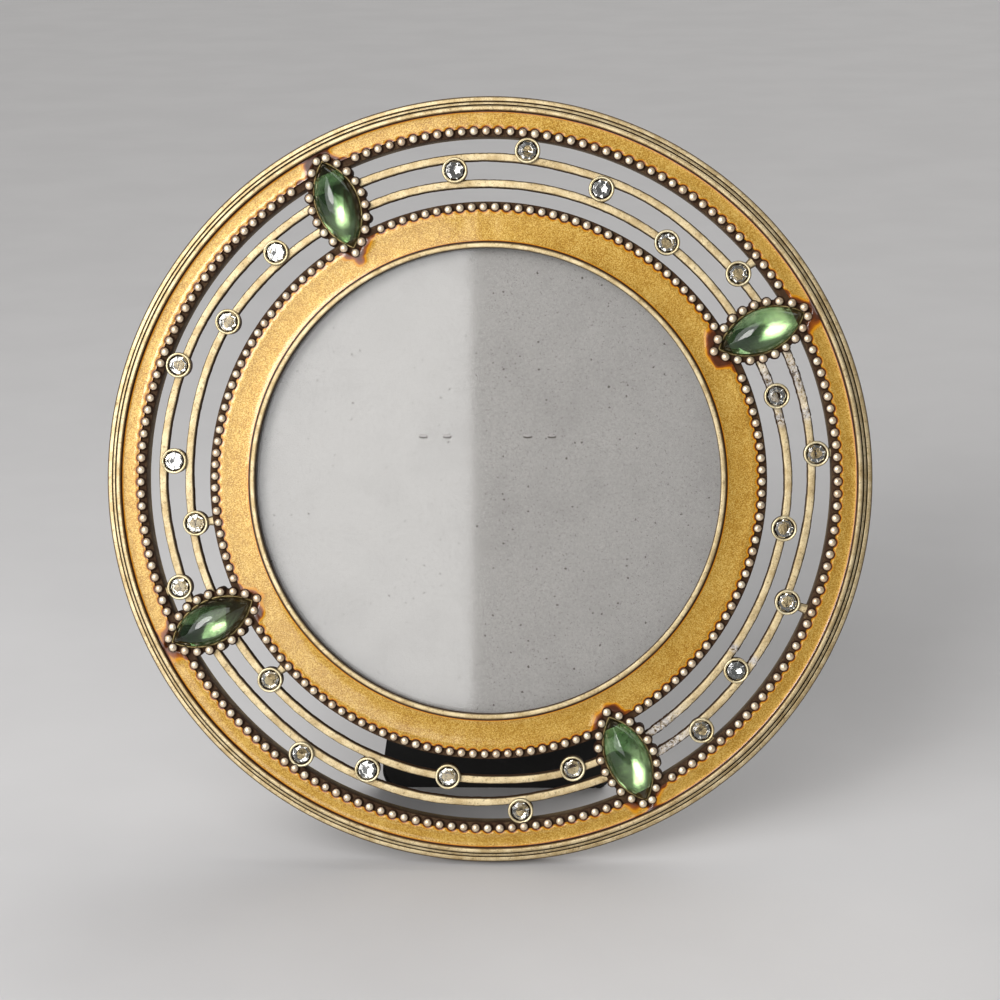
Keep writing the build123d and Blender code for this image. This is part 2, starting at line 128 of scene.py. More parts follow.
def lifted(outline: np.ndarray, height: float) -> np.ndarray:
    """The points of a flat outline at a height."""
    return np.column_stack([outline, np.full(len(outline), height)])


def lumps(x: np.ndarray, y: np.ndarray, z: np.ndarray | float, scale: float = 1.0) -> np.ndarray:
    """Smooth noise at each point of a grid.

    Args:
        x: The points' first coordinate.
        y: Their second coordinate.
        z: Their third, or one value for all.
        scale: Lumps to a unit of length.

    Returns:
        The noise values, in the shape of the coordinates.
    """
    spots = np.stack(np.broadcast_arrays(x, y, z), -1)
    values = [noise.noise(Vector(spot) * scale) for spot in spots.reshape(-1, 3)]
    return np.array(values).reshape(spots.shape[:-1])


def stand(name: str, data: bpy.types.ID) -> bpy.types.Object:
    """Puts data into the scene as an object at the origin.

    Args:
        name: The object's name.
        data: Its mesh, lamp or camera data.

    Returns:
        The object.
    """
    thing = bpy.data.objects.new(name, data)
    bpy.context.scene.collection.objects.link(thing)
    return thing


@contextmanager
def editing(mesh: bpy.types.Mesh) -> Iterator[bmesh.types.BMesh]:
    """Opens a mesh for editing and writes it back at the end.

    Args:
        mesh: The mesh.

    Returns:
        The open mesh, for the block of a with statement.
    """
    work = bmesh.new()
    work.from_mesh(mesh)
    yield work
    work.to_mesh(mesh)
    work.free()


def smoothed(mesh: bpy.types.Mesh, sharp_angle: float) -> bpy.types.Mesh:
    """Shades a mesh smooth, apart from its sharp edges.

    Args:
        mesh: The mesh.
        sharp_angle: Edges that turn by more degrees than this stay sharp.

    Returns:
        The same mesh.
    """
    mesh.shade_smooth()
    mesh.set_sharp_from_angle(angle=math.radians(sharp_angle))
    return mesh


@dataclass(frozen=True)
class FrameSizes:
    """Sizes of the frame in millimetres and degrees, heights counted from its flat back."""

    lean_angle: float = 15.0
    rim_radius: float = 73.0
    ridge_radius: float = 70.95
    ridge_height: float = 5.9
    channel_radius: float = 69.95
    outer_bead_line: float = 66.3
    outer_bead_radius: float = 0.97
    outer_bead_count: int = 180
    rim_inner_radius: float = 65.3
    inner_ring_radius: float = 53.1
    inner_bead_line: float = 52.05
    inner_bead_radius: float = 0.95
    inner_bead_count: int = 147
    lip_radius: float = 45.8
    sight_radius: float = 44.35
    inner_wire_radius: float = 57.0
    outer_wire_radius: float = 61.75
    lip_height: float = 5.9
    rebate_radius: float = 47.3
    floor_height: float = 4.6
    glass_seat_height: float = 3.8
    glass_thickness: float = 1.5
    board_thickness: float = 1.6
    cloth_thickness: float = 0.5
    pane_radius: float = 47.0
    wire_bottom_height: float = 2.2
    wire_top_height: float = 4.2
    cup_top_height: float = 5.0
    setting_bottom_height: float = 1.4
    setting_top_height: float = 4.9

    @property
    def board_front(self) -> float:
        """Height of the chipboard's front face."""
        return self.glass_seat_height - self.glass_thickness

    @property
    def board_back(self) -> float:
        """Height of the chipboard's back face."""
        return self.board_front - self.board_thickness

    @property
    def cloth_back(self) -> float:
        """Height of the velvet's outer face at the back."""
        return self.board_back - self.cloth_thickness


@dataclass(frozen=True)
class FrontPlane:
    """The leaning plane of the frame's flat back: x to the right, y up the face, z to the viewer."""

    sizes: FrameSizes

    @property
    def lean(self) -> float:
        """The lean in radians."""
        return math.radians(self.sizes.lean_angle)

    @property
    def normal(self) -> Vector:
        """Direction towards the viewer."""
        return Vector((0, -math.cos(self.lean), math.sin(self.lean)))

    @property
    def up(self) -> Vector:
        """Direction up the face."""
        return Vector((0, math.sin(self.lean), math.cos(self.lean)))

    @property
    def origin(self) -> Vector:
        """Middle of the flat back, in millimetres: the rim stands on the table and the object is centred.

        Returns:
            The point in the row frame.
        """
        s = self.sizes
        ridge_reach = s.ridge_radius * math.sin(self.lean) + s.ridge_height * math.cos(self.lean)
        rim_reach = s.rim_radius * math.sin(self.lean)
        return Vector((0, (ridge_reach - rim_reach) / 2, s.rim_radius * math.cos(self.lean)))

    @property
    def matrix(self) -> Matrix:
        """From millimetres in the plane to metres in the row frame."""
        turn = Matrix((Vector((1, 0, 0)), self.up, self.normal)).transposed().to_4x4()
        return Matrix.Scale(MM, 4) @ Matrix.Translation(self.origin) @ turn


SIZES = FrameSizes()
PLANE = FrontPlane(SIZES)


class Signal:
    """A shader socket that takes part in sums: each operator adds a Math node."""

    def __init__(self, recipe: "Recipe", socket: bpy.types.NodeSocket) -> None:
        """Wraps a socket of a recipe's tree."""
        self.recipe = recipe
        self.socket = socket

    def _math(self, operation: str, first: "Signal | float", second: "Signal | float") -> "Signal":
        """Adds one Math node and returns its result."""
        return self.recipe.node("Math", {"operation": operation}, {0: first, 1: second})

    def __add__(self, other: "Signal | float") -> "Signal":
        """Sum."""
        return self._math("ADD", self, other)

    __radd__ = __add__

    def __sub__(self, other: "Signal | float") -> "Signal":
        """Difference."""
        return self._math("SUBTRACT", self, other)

    def __rsub__(self, other: float) -> "Signal":
        """Difference from a number on the left."""
        return self._math("SUBTRACT", other, self)

    def __mul__(self, other: "Signal | float") -> "Signal":
        """Product."""
        return self._math("MULTIPLY", self, other)

    __rmul__ = __mul__

    def over(self, level: float) -> "Signal":
        """1 where the signal is above the level, else 0."""
        return self._math("GREATER_THAN", self, level)

    def step(self, low: float, high: float) -> "Signal":
        """A soft step from 0 at low to 1 at high.

        Args:
            low: Value where the step starts, which may be above high.
            high: Value where it ends.

        Returns:
            The stepped signal.
        """
        flip = low > high
        settings = {"interpolation_type": "SMOOTHSTEP"}
        limits = {"From Min": min(low, high), "From Max": max(low, high)}
        ends = {"To Min": 1.0 if flip else 0.0, "To Max": 0.0 if flip else 1.0}
        return self.recipe.node("MapRange", settings, {"Value": self, **limits, **ends})


class Recipe:
    """A material in the making: one maker for all nodes, and a few patterns made from it."""

    def __init__(self, name: str) -> None:
        """Starts an empty material.

        Args:
            name: The material's name.
        """
        self.material = bpy.data.materials.new(name)
        self.material.use_nodes = True
        self.tree = self.material.node_tree
        self.tree.nodes.clear()

    def node(self, kind: str, settings: dict | None = None, inputs: dict | None = None,
             output: int | str = 0) -> Signal:
        """Adds a shader node.

        Args:
            kind: The node's type without ShaderNode.
            settings: Properties of the node, set first; stops are a colour ramp's (place, colour).
            inputs: Values or signals for its sockets, by name or index.
            output: The socket that is returned.

        Returns:
            The node's output.
        """
        made = self.tree.nodes.new("ShaderNode" + kind)
        for name, value in (settings or {}).items():
            if name == "stops":
                self._set_stops(made.color_ramp, value)
            else:
                setattr(made, name, value)
        for key, value in (inputs or {}).items():
            if isinstance(value, Signal):
                self.tree.links.new(value.socket, made.inputs[key])
            else:
                made.inputs[key].default_value = value
        return Signal(self, made.outputs[output])

    @staticmethod
    def _set_stops(ramp: bpy.types.ColorRamp, stops: list[tuple[float, tuple]]) -> None:
        """Puts the stops into a colour ramp that starts with two.

        Args:
            ramp: The ramp.
            stops: Each stop's place and colour.
        """
        while len(ramp.elements) < len(stops):
            ramp.elements.new(1.0)
        for element, (place, colour) in zip(ramp.elements, stops):
            element.position = place
            element.color = colour

    def mix(self, share: Signal | float, first: Signal | tuple, second: Signal | tuple) -> Signal:
        """Mixes two colours.

        Args:
            share: How much of the second, from 0 to 1.
            first: Colour at 0.
            second: Colour at 1.

        Returns:
            The mixed colour.
        """
        settings = {"data_type": "RGBA", "blend_type": "MIX", "clamp_factor": True}
        return self.node("Mix", settings, {0: share, 6: first, 7: second}, 2)

    def place(self) -> Signal:
        """Object coordinates, in metres."""
        return self.node("TexCoord", output="Object")

    def grain(self, size_mm: float, detail: float = 2.0, roughness: float = 0.55) -> Signal:
        """Noise whose lumps are about size_mm wide, as a value about 0.5.

        Args:
            size_mm: Width of a lump.
            detail: Octaves.
            roughness: Share that each octave adds.

        Returns:
            The noise value.
        """
        scale = {"Scale": 1 / (size_mm * MM), "Detail": detail, "Roughness": roughness}
        return self.node("TexNoise", {}, {"Vector": self.place(), **scale})

    def cells(self, size_mm: float, output: str, place: Signal | None = None) -> Signal:
        """An output of a pattern of cells of about size_mm, read at object coordinates or another place."""
        inputs = {"Vector": place or self.place(), "Scale": 1 / (size_mm * MM)}
        return self.node("TexVoronoi", {}, inputs, output)

    def chance(self, size_mm: float, channel: int, place: Signal | None = None) -> Signal:
        """A random value from 0 to 1 for each cell of about size_mm."""
        return self.node("SeparateColor", {}, {"Color": self.cells(size_mm, "Color", place)}, channel)

    def mark(self, name: str) -> Signal:
        """The mesh's own value of that name."""
        return self.node("Attribute", {"attribute_name": name}, output="Fac")

    def bump(self, relief: Signal, depth_mm: float, strength: float) -> Signal:
        """A normal from a relief signal, whose full range is depth_mm high."""
        return self.node("Bump", {}, {"Height": relief, "Distance": depth_mm * MM, "Strength": strength})

    def surface(self, **inputs: object) -> Signal:
        """A Principled shader; underscores in the names stand for spaces."""
        return self.node("BsdfPrincipled", {}, {k.replace("_", " "): v for k, v in inputs.items()})

    def finish(self, shader: Signal) -> bpy.types.Material:
        """Connects the shader to the output.

        Args:
            shader: The shader's signal.

        Returns:
            The finished material.
        """
        out = self.tree.nodes.new("ShaderNodeOutputMaterial")
        self.tree.links.new(shader.socket, out.inputs["Surface"])
        return self.material


@dataclass(frozen=True)
class AntiqueGold:
    """Pale gold plate over a cast grain, with dark patina, and on some pieces painted shade, where the mesh
    is marked as recessed.
    """

    name: str
    bright: tuple = tint(215, 198, 160)
    shade: tuple = tint(178, 156, 114)
    patina: tuple = tint(72, 48, 28)
    silvered: tuple = tint(216, 212, 210)
    roughness: float = 0.52
    metallic: float = 0.92
    grain_mm: float = 0.22
    grain_depth_mm: float = 0.03
    cloud_mm: float = 2.6
    speck_mm: float = 0.55
    chunk_mm: float = 0.45
    patina_low: float = 0.25
    patina_high: float = 0.85

    def make(self) -> bpy.types.Material:
        """Builds the material.

        Returns:
            The material.
        """
        r = Recipe(self.name)
        cloud = r.grain(self.cloud_mm, 4.0)
        fine = r.grain(self.grain_mm, 3.0, 0.65)
        speck = r.grain(self.speck_mm, 3.0).step(0.56, 0.70)
        uneven = (cloud - 0.5) * 0.5 + (fine - 0.5) * 0.5
        # The recess mark brings patina, and on beads, wire sides, stubs and cups painted shade as well.
        recess = (r.mark("recess") + uneven).step(self.patina_low, self.patina_high)
        worn = r.mix((cloud * 0.6 + fine * 0.4).step(0.38, 0.62), self.shade, self.bright)
        freckled = r.mix(speck * 0.45, worn, self.patina)
        crust, chunk = r.mark("pool"), r.grain(self.chunk_mm, 4.0, 0.7)
        silvery = r.mix(crust * chunk.step(0.4, 0.52), freckled, self.silvered)
        pitted = r.mix(crust * chunk.step(0.46, 0.38), silvery, self.patina)
        colour = r.mix(recess, pitted, self.patina)
        roughness = self.roughness + recess * 0.3 + (fine - 0.5) * 0.25
        metallic = self.metallic - recess * 0.45
        normal = r.bump(fine + crust * chunk * 5.0, self.grain_depth_mm, 0.9)
        return r.finish(r.surface(Base_Color=colour, Metallic=metallic, Roughness=roughness, Normal=normal))


@dataclass(frozen=True)
class AmberEnamel:
    """Poured glitter enamel: gold flakes in amber resin under gloss, browner where it pools and as painted
    shade at its edges.
    """

    name: str = "amber_enamel"
    pale: tuple = tint(213, 180, 100)
    amber: tuple = tint(188, 144, 54)
    deep: tuple = tint(152, 108, 32)
    thick: tuple = tint(210, 142, 12)
    edge: tuple = tint(142, 72, 6)
    pooled: tuple = tint(72, 32, 8)
    flake_mm: float = 0.16
    cloud_mm: float = 4.5
    roughness: float = 0.36
    flake_depth_mm: float = 0.02
    gloss_roughness: float = 0.11

    def make(self) -> bpy.types.Material:
        """Builds the material.

        Returns:
            The material.
        """
        r = Recipe(self.name)
        flake = r.chance(self.flake_mm, 0)
        fine = r.chance(self.flake_mm * 0.55, 1)
        cloud = r.grain(self.cloud_mm, 3.0)
        mottle = (flake * 0.55 + fine * 0.45 + (cloud - 0.5) * 0.5).step(0.1, 0.95)
        stops = [(0.0, self.deep), (0.45, self.amber), (1.0, self.pale)]
        body = r.node("ValToRGB", {"stops": stops}, {0: mottle})
        # The pool mark holds resin depth, plus painted shade along the metal wall and round the beads.
        pool = r.mark("pool") + (cloud - 0.5) * 0.3 + (fine - 0.5) * 0.1
        thicker = r.mix(pool.step(0.12, 0.45), body, self.thick)
        browner = r.mix(pool.step(0.45, 0.72), thicker, self.edge)
        colour = r.mix(pool.step(0.7, 1.0), browner, self.pooled)
        roughness = self.roughness + (flake - 0.5) * 0.14
        metallic = (flake * 0.35 + 0.1) * (1.0 - pool.step(0.1, 0.5))
        normal = r.bump(flake * 0.7 + fine * 0.3, self.flake_depth_mm, 0.25)
        return r.finish(r.surface(Base_Color=colour, Metallic=metallic, Roughness=roughness, Normal=normal,
                                  Specular_IOR_Level=0.1, Coat_Weight=1.0,
                                  Coat_Roughness=self.gloss_roughness))


@dataclass(frozen=True)
class Glass:
    """Clear or coloured glass that light passes through; a coloured stone is painted dark on its side to the
    light and pale, as a painted highlight, on the far side.
    """

    name: str
    colour: tuple
    deep: tuple
    index: float = 1.52
    cloud_mm: float = 3.0
    white: tuple = tint(255, 255, 255)

    def make(self) -> bpy.types.Material:
        """Builds the material.

        Returns:
            The material.
        """
        r = Recipe(self.name)
        cloud = r.grain(self.cloud_mm, 2.0)
        # Painted light: deep is the painted shade on the side to the light, colour the painted highlight away
        # from it.
        body = r.mix(r.mark("pool").step(0.38, 0.62), self.deep, self.colour)
        shade = r.mix(cloud.step(0.3, 0.7) * 0.2, body, self.white)
        return r.finish(r.surface(Base_Color=shade, Roughness=0.0, IOR=self.index, Transmission_Weight=1.0))


@dataclass(frozen=True)
class Foil:
    """Mirror foil behind a stone, rougher on the far side from the light, where the stone has its painted
    highlight.
    """

    name: str
    colour: tuple
    roughness: float
    tarnish: float = 0.35
    tarnished: tuple = tint(120, 118, 108)
    cloud_mm: float = 0.8
    spread: float = 0.16

    def make(self) -> bpy.types.Material:
        """Builds the material.

        Returns:
            The material.
        """
        r = Recipe(self.name)
        cloud = r.grain(self.cloud_mm, 3.0)
        colour = r.mix(cloud.step(0.45, 0.8) * self.tarnish, self.colour, self.tarnished)
        roughness = self.roughness + cloud * self.roughness + r.mark("pool").step(0.4, 0.6) * self.spread
        return r.finish(r.surface(Base_Color=colour, Metallic=1.0, Roughness=roughness))


@dataclass(frozen=True)
class PaneGlass:
    """Thin clear sheet: light goes straight through, and gloss comes from its two faces."""

    name: str = "pane_glass"
    clear: tuple = (0.985, 0.99, 0.985, 1)
    index: float = 1.52
    roughness: float = 0.05
    smear_mm: float = 14.0

    def make(self) -> bpy.types.Material:
        """Builds the material.

        Returns:
            The material.
        """
        r = Recipe(self.name)
        smear = r.grain(self.smear_mm, 4.0).step(0.45, 0.75)
        gloss = r.node("BsdfGlossy", {}, {"Color": (1, 1, 1, 1), "Roughness": self.roughness + smear * 0.02})
        clear = r.node("BsdfTransparent", {}, {"Color": self.clear})
        facing = r.node("Fresnel", {}, {"IOR": self.index})
        return r.finish(r.node("MixShader", {}, {0: facing, 1: clear, 2: gloss}))


@dataclass(frozen=True)
class Chipboard:
    """Grey pulp board with fibres and dark specks."""

    name: str = "grey_chipboard"
    face: tuple = tint(188, 184, 183)
    dark: tuple = tint(167, 163, 162)
    speck: tuple = tint(70, 62, 54)
    pulp_mm: float = 0.5
    pulp_depth_mm: float = 0.05
    cloud_mm: float = 9.0
    speck_mm: float = 1.7
    crumb_mm: float = 0.34
    fibre_mm: float = 1.1

    def make(self) -> bpy.types.Material:
        """Builds the material.

        Returns:
            The material.
        """
        r = Recipe(self.name)
        pulp = r.grain(self.pulp_mm, 4.0, 0.7)
        cloud = r.grain(self.cloud_mm, 4.0)
        shift = r.node("TexNoise", {}, {"Vector": r.place(), "Scale": 1 / (self.pulp_mm * MM)}, "Color")
        warp = r.node("VectorMath", {"operation": "MULTIPLY"}, {0: shift, 1: (self.pulp_mm * MM,) * 3})
        spot = r.node("VectorMath", {"operation": "ADD"}, {0: r.place(), 1: warp})
        dots = r.cells(self.speck_mm, "Distance", spot)
        keep = r.chance(self.speck_mm, 0, spot)
        crumbs = r.grain(self.crumb_mm, 2.0, 0.6).step(0.62, 0.69) * 0.55
        specks = dots.step(0.16, 0.07) * keep.over(0.66) + crumbs
        strands = {"Scale": 1 / (self.fibre_mm * MM), "Detail": 5.0, "Distortion": 2.5}
        fibre = r.node("TexNoise", {"noise_dimensions": "3D"}, {"Vector": r.place(), **strands})
        threads = (fibre - 0.5) * (fibre - 0.5)
        hairs = threads.step(0.0006, 0.0) * cloud.step(0.5, 0.7)
        base = r.mix((pulp * 0.6 + cloud * 0.4).step(0.3, 0.7), self.dark, self.face)
        hairy = r.mix(hairs * 0.35, base, self.speck)
        specked = r.mix(specks * 0.8, hairy, self.speck)
        # The recess mark paints the shadow under each staple blister in the speck colour.
        colour = r.mix(r.mark("recess"), specked, self.speck)
        normal = r.bump(pulp, self.pulp_depth_mm, 0.5)
        return r.finish(r.surface(Base_Color=colour, Roughness=0.86 + (pulp - 0.5) * 0.1, Normal=normal))


@dataclass(frozen=True)
class Velvet:
    """Short black pile: dark, with a soft sheen and brushed patches."""

    name: str = "black_velvet"
    dark: tuple = tint(10, 9, 10)
    brushed: tuple = tint(30, 29, 32)
    pile_mm: float = 0.18
    pile_depth_mm: float = 0.12
    patch_mm: float = 11.0

    def make(self) -> bpy.types.Material:
        """Builds the material.

        Returns:
            The material.
        """
        r = Recipe(self.name)
        pile = r.grain(self.pile_mm, 2.0, 0.7)
        patch = r.grain(self.patch_mm, 3.0)
        share = (patch * 0.7 + pile * 0.3).step(0.42, 0.66)
        colour = r.mix(share, self.dark, self.brushed)
        normal = r.bump(pile, self.pile_depth_mm, 0.8)
        return r.finish(r.surface(Base_Color=colour, Roughness=0.92, Normal=normal, Sheen_Weight=0.25,
                                  Sheen_Roughness=0.4))


@dataclass(frozen=True)
class BlackPaper:
    """Black lining paper with a faint tooth."""

    name: str = "black_lining_paper"
    dark: tuple = tint(13, 12, 12)
    worn: tuple = tint(34, 32, 30)
    tooth_mm: float = 0.3
    tooth_depth_mm: float = 0.04
    scuff_mm: float = 5.0

    def make(self) -> bpy.types.Material:
        """Builds the material.

        Returns:
            The material.
        """
        r = Recipe(self.name)
        tooth = r.grain(self.tooth_mm, 3.0, 0.6)
        scuff = r.grain(self.scuff_mm, 5.0, 0.65).step(0.55, 0.75)
        colour = r.mix(scuff * 0.6 + (tooth - 0.5) * 0.3, self.dark, self.worn)
        normal = r.bump(tooth, self.tooth_depth_mm, 0.5)
        return r.finish(r.surface(Base_Color=colour, Roughness=0.8 - scuff * 0.1, Normal=normal))


@dataclass(frozen=True)
class PlatedSteel:
    """Nickel plate with drawn lines and handling marks."""

    name: str = "plated_steel"
    bright: tuple = tint(206, 202, 192)
    dull: tuple = tint(150, 144, 132)
    line_mm: float = 0.12
    line_depth_mm: float = 0.01
    line_stretch: tuple = (0.06, 1.0, 1.0)
    cloud_mm: float = 3.0
    roughness: float = 0.24

    def make(self) -> bpy.types.Material:
        """Builds the material.

        Returns:
            The material.
        """
        r = Recipe(self.name)
        stretch = r.node("Mapping", {}, {"Vector": r.place(), "Scale": self.line_stretch})
        lines = r.node("TexNoise", {}, {"Vector": stretch, "Scale": 1 / (self.line_mm * MM), "Detail": 3.0})
        cloud = r.grain(self.cloud_mm, 4.0)
        colour = r.mix((cloud * 0.7 + lines * 0.3).step(0.35, 0.7), self.dull, self.bright)
        roughness = self.roughness + cloud * 0.2 + (lines - 0.5) * 0.1
        normal = r.bump(lines, self.line_depth_mm, 0.4)
        return r.finish(r.surface(Base_Color=colour, Metallic=0.95, Roughness=roughness, Normal=normal))


@dataclass
class Form:
    """A mesh in the making: points in millimetres in its own frame, faces, and two marks for each point.

    The recess mark is patina, painted shade on beads, wire sides, stubs and cups, or the painted shadow under
    a staple blister in the board. The pool mark is depth of enamel with painted shade at its edges, crust on
    a wire, or how far a point of a stone lies from the light, which places its painted highlight and shade.
    """

    points: list = field(default_factory=list)
    faces: list = field(default_factory=list)
    recess: list = field(default_factory=list)
    pool: list = field(default_factory=list)
    finishes: list = field(default_factory=list)

    def skin(self, rings: np.ndarray, recess: np.ndarray | float = 0.0, pool: np.ndarray | float = 0.0,
             wrap: bool = False, caps: bool = False) -> "Form":
        """Adds a surface through rings of points, each ring closed.

        Args:
            rings: Points as an array of rings by points by three.
            recess: The recess mark for each point or for all.
            pool: The pool mark for each point or for all.
            wrap: Whether the last ring joins the first.
            caps: Whether the first and last rings are closed by a face.

        Returns:
            This form.
        """
        grid = rings.shape[:2]
        index = np.arange(grid[0] * grid[1]).reshape(grid) + len(self.points)
        self.points += rings.reshape(-1, 3).tolist()
        self.recess += np.broadcast_to(recess, grid).ravel().tolist()
        self.pool += np.broadcast_to(pool, grid).ravel().tolist()
        below = index if wrap else index[:-1]
        above = np.roll(index, -1, 0) if wrap else index[1:]
        quads = np.stack([below, np.roll(below, -1, 1), np.roll(above, -1, 1), above], -1).reshape(-1, 4)
        faces = quads.tolist()
        if caps:
            faces += [index[0][::-1].tolist(), index[-1].tolist()]
        self.faces += faces
        self.finishes += [0] * len(faces)
        return self

    def fan(self, tip: tuple[float, float, float], count: int) -> None:
        """Closes the last ring with triangles up to a tip.

        Args:
            tip: The tip's point.
            count: Points in the ring.
        """
        start, end = len(self.points) - count, len(self.points)
        self.points.append(tip)
        self.recess.append(0.0)
        self.pool.append(0.0)
        self.faces += [[start + j, start + (j + 1) % count, end] for j in range(count)]
        self.finishes += [0] * count

    def join(self, other: "Form") -> None:
        """Adds another form.

        Args:
            other: The form to add.
        """
        start = len(self.points)
        self.points += other.points
        self.faces += [[i + start for i in face] for face in other.faces]
        self.recess += other.recess
        self.pool += other.pool
        self.finishes += other.finishes

    def mesh(self, name: str, matrix: Matrix | None = None, sharp_angle: float = 40.0) -> bpy.types.Mesh:
        """Makes the mesh, with its normals outwards and smooth apart from sharp edges.

        Args:
            name: The mesh's name.
            matrix: From the form's frame to the row frame.
            sharp_angle: Edges that turn by more degrees than this stay sharp.

        Returns:
            The mesh.
        """
        mesh = bpy.data.meshes.new(name)
        mesh.from_pydata(self.points, [], self.faces)
        for label in ("recess", "pool"):
            values = getattr(self, label)
            if any(values):
                mesh.attributes.new(label, "FLOAT", "POINT").data.foreach_set("value", values)
        mesh.polygons.foreach_set("material_index", self.finishes)
        mesh.transform(matrix or Matrix.Identity(4))
        with editing(mesh) as work:
            bmesh.ops.recalc_face_normals(work, faces=work.faces)
        return smoothed(mesh, sharp_angle)


def put(mesh: bpy.types.Mesh, finishes: list[bpy.types.Material], slot: Slot, *replaced: str,
        body: Body = Body.FRAME) -> bpy.types.Object:
    """Makes a piece of a mesh that is already in place, dresses it and sets it on its body.

    Args:
        mesh: The mesh in the row frame.
        finishes: Its materials in order.
        slot: The record's slot for its finish; not used.
        replaced: CAD nodes that it stands for.
        body: The body it rides on.

    Returns:
        The piece.
    """
    if len(finishes) == 1:
        mesh.materials.clear()
    for finish in finishes:
        mesh.materials.append(finish)
    piece = stand(mesh.name, mesh)
    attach(piece, body.value)
    if replaced:
        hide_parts(*replaced)
    LOG.info("%s: %d faces on %s", piece.name, len(mesh.polygons), body.value)
    return piece


def rounded(corners: list[Corner], steps: int) -> tuple[np.ndarray, np.ndarray]:
    """Rounds the corners of a closed outline.

    Args:
        corners: The outline's corners.
        steps: Arc steps at a rounded corner.

    Returns:
        The outline's points, and their recess values.
    """
    longest_share, least_reach = 0.49, 1e-4
    spots = np.array([c[:2] for c in corners], float)
    points, recess = [], []
    for index, (_, _, radius, value) in enumerate(corners):
        here = spots[index]
        back, ahead = spots[index - 1] - here, spots[(index + 1) % len(spots)] - here
        back_length, ahead_length = np.linalg.norm(back), np.linalg.norm(ahead)
        back, ahead = back / back_length, ahead / ahead_length
        half = math.acos(np.clip(back @ ahead, -1, 1)) / 2
        reach = min(radius / math.tan(half), longest_share * back_length, longest_share * ahead_length)
        if reach < least_reach:
            points.append(here)
            recess.append(value)
            continue
        for step in range(steps + 1):
            share = step / steps
            bend = (1 - share) ** 2 * back * reach + share**2 * ahead * reach
            points.append(here + bend)
            recess.append(value)
    return np.array(points), np.array(recess)


def mirrored(side: list[Corner]) -> list[Corner]:
    """A closed outline's corners, from those of its right side from the top down."""
    return [(-x, *rest) for x, *rest in reversed(side)] + side


def turned(profile: np.ndarray, steps: int, sway: np.ndarray | float = 0.0) -> np.ndarray:
    """Turns a profile of radius and height round the front axis.

    Args:
        profile: Points of radius and height.
        steps: Steps of the turn.
        sway: What the radius gains at each step.

    Returns:
        Rings of points, one for each profile point.
    """
    turns = around(steps)
    radii = profile[:, :1] + np.broadcast_to(sway, (1, steps))
    heights = np.broadcast_to(profile[:, 1:], radii.shape)
    return np.stack([radii * np.cos(turns), radii * np.sin(turns), heights], -1)


def periodic(values: tuple[float, ...], steps: int) -> np.ndarray:
    """A smooth closed curve through values at even steps of the turn.

    Args:
        values: The values.
        steps: How many points to give.

    Returns:
        The curve's values.
    """
    knots = np.array(values)
    place = np.arange(steps) * len(knots) / steps
    low = place.astype(int)
    share = place - low
    first, second = knots[low], knots[(low + 1) % len(knots)]
    slope_first = (second - knots[low - 1]) / 2
    slope_second = (knots[(low + 2) % len(knots)] - first) / 2
    return (first * (2 * share**3 - 3 * share**2 + 1) + second * (3 * share**2 - 2 * share**3)
            + slope_first * (share**3 - 2 * share**2 + share) + slope_second * (share**3 - share**2))


def wobble(steps: int, count: float, seed: float) -> np.ndarray:
    """Smooth closed noise round the turn, from about -1 to 1.

    Args:
        steps: How many points to give.
        count: About how many lumps to a turn.
        seed: Which noise.

    Returns:
        The noise values.
    """
    full_range = 1.6
    reach, turns = count / (2 * math.pi), around(steps)
    return lumps(reach * np.cos(turns), reach * np.sin(turns), seed) * full_range


@dataclass(frozen=True)
class Scatter:
    """How copies of a shape vary: seed of the choices, scale, and spreads of scale, turn and height."""

    seed: int
    size: float = 1.0
    size_spread: float = 0.0
    turn_spread: float = 3.1
    lift_spread: float = 0.0


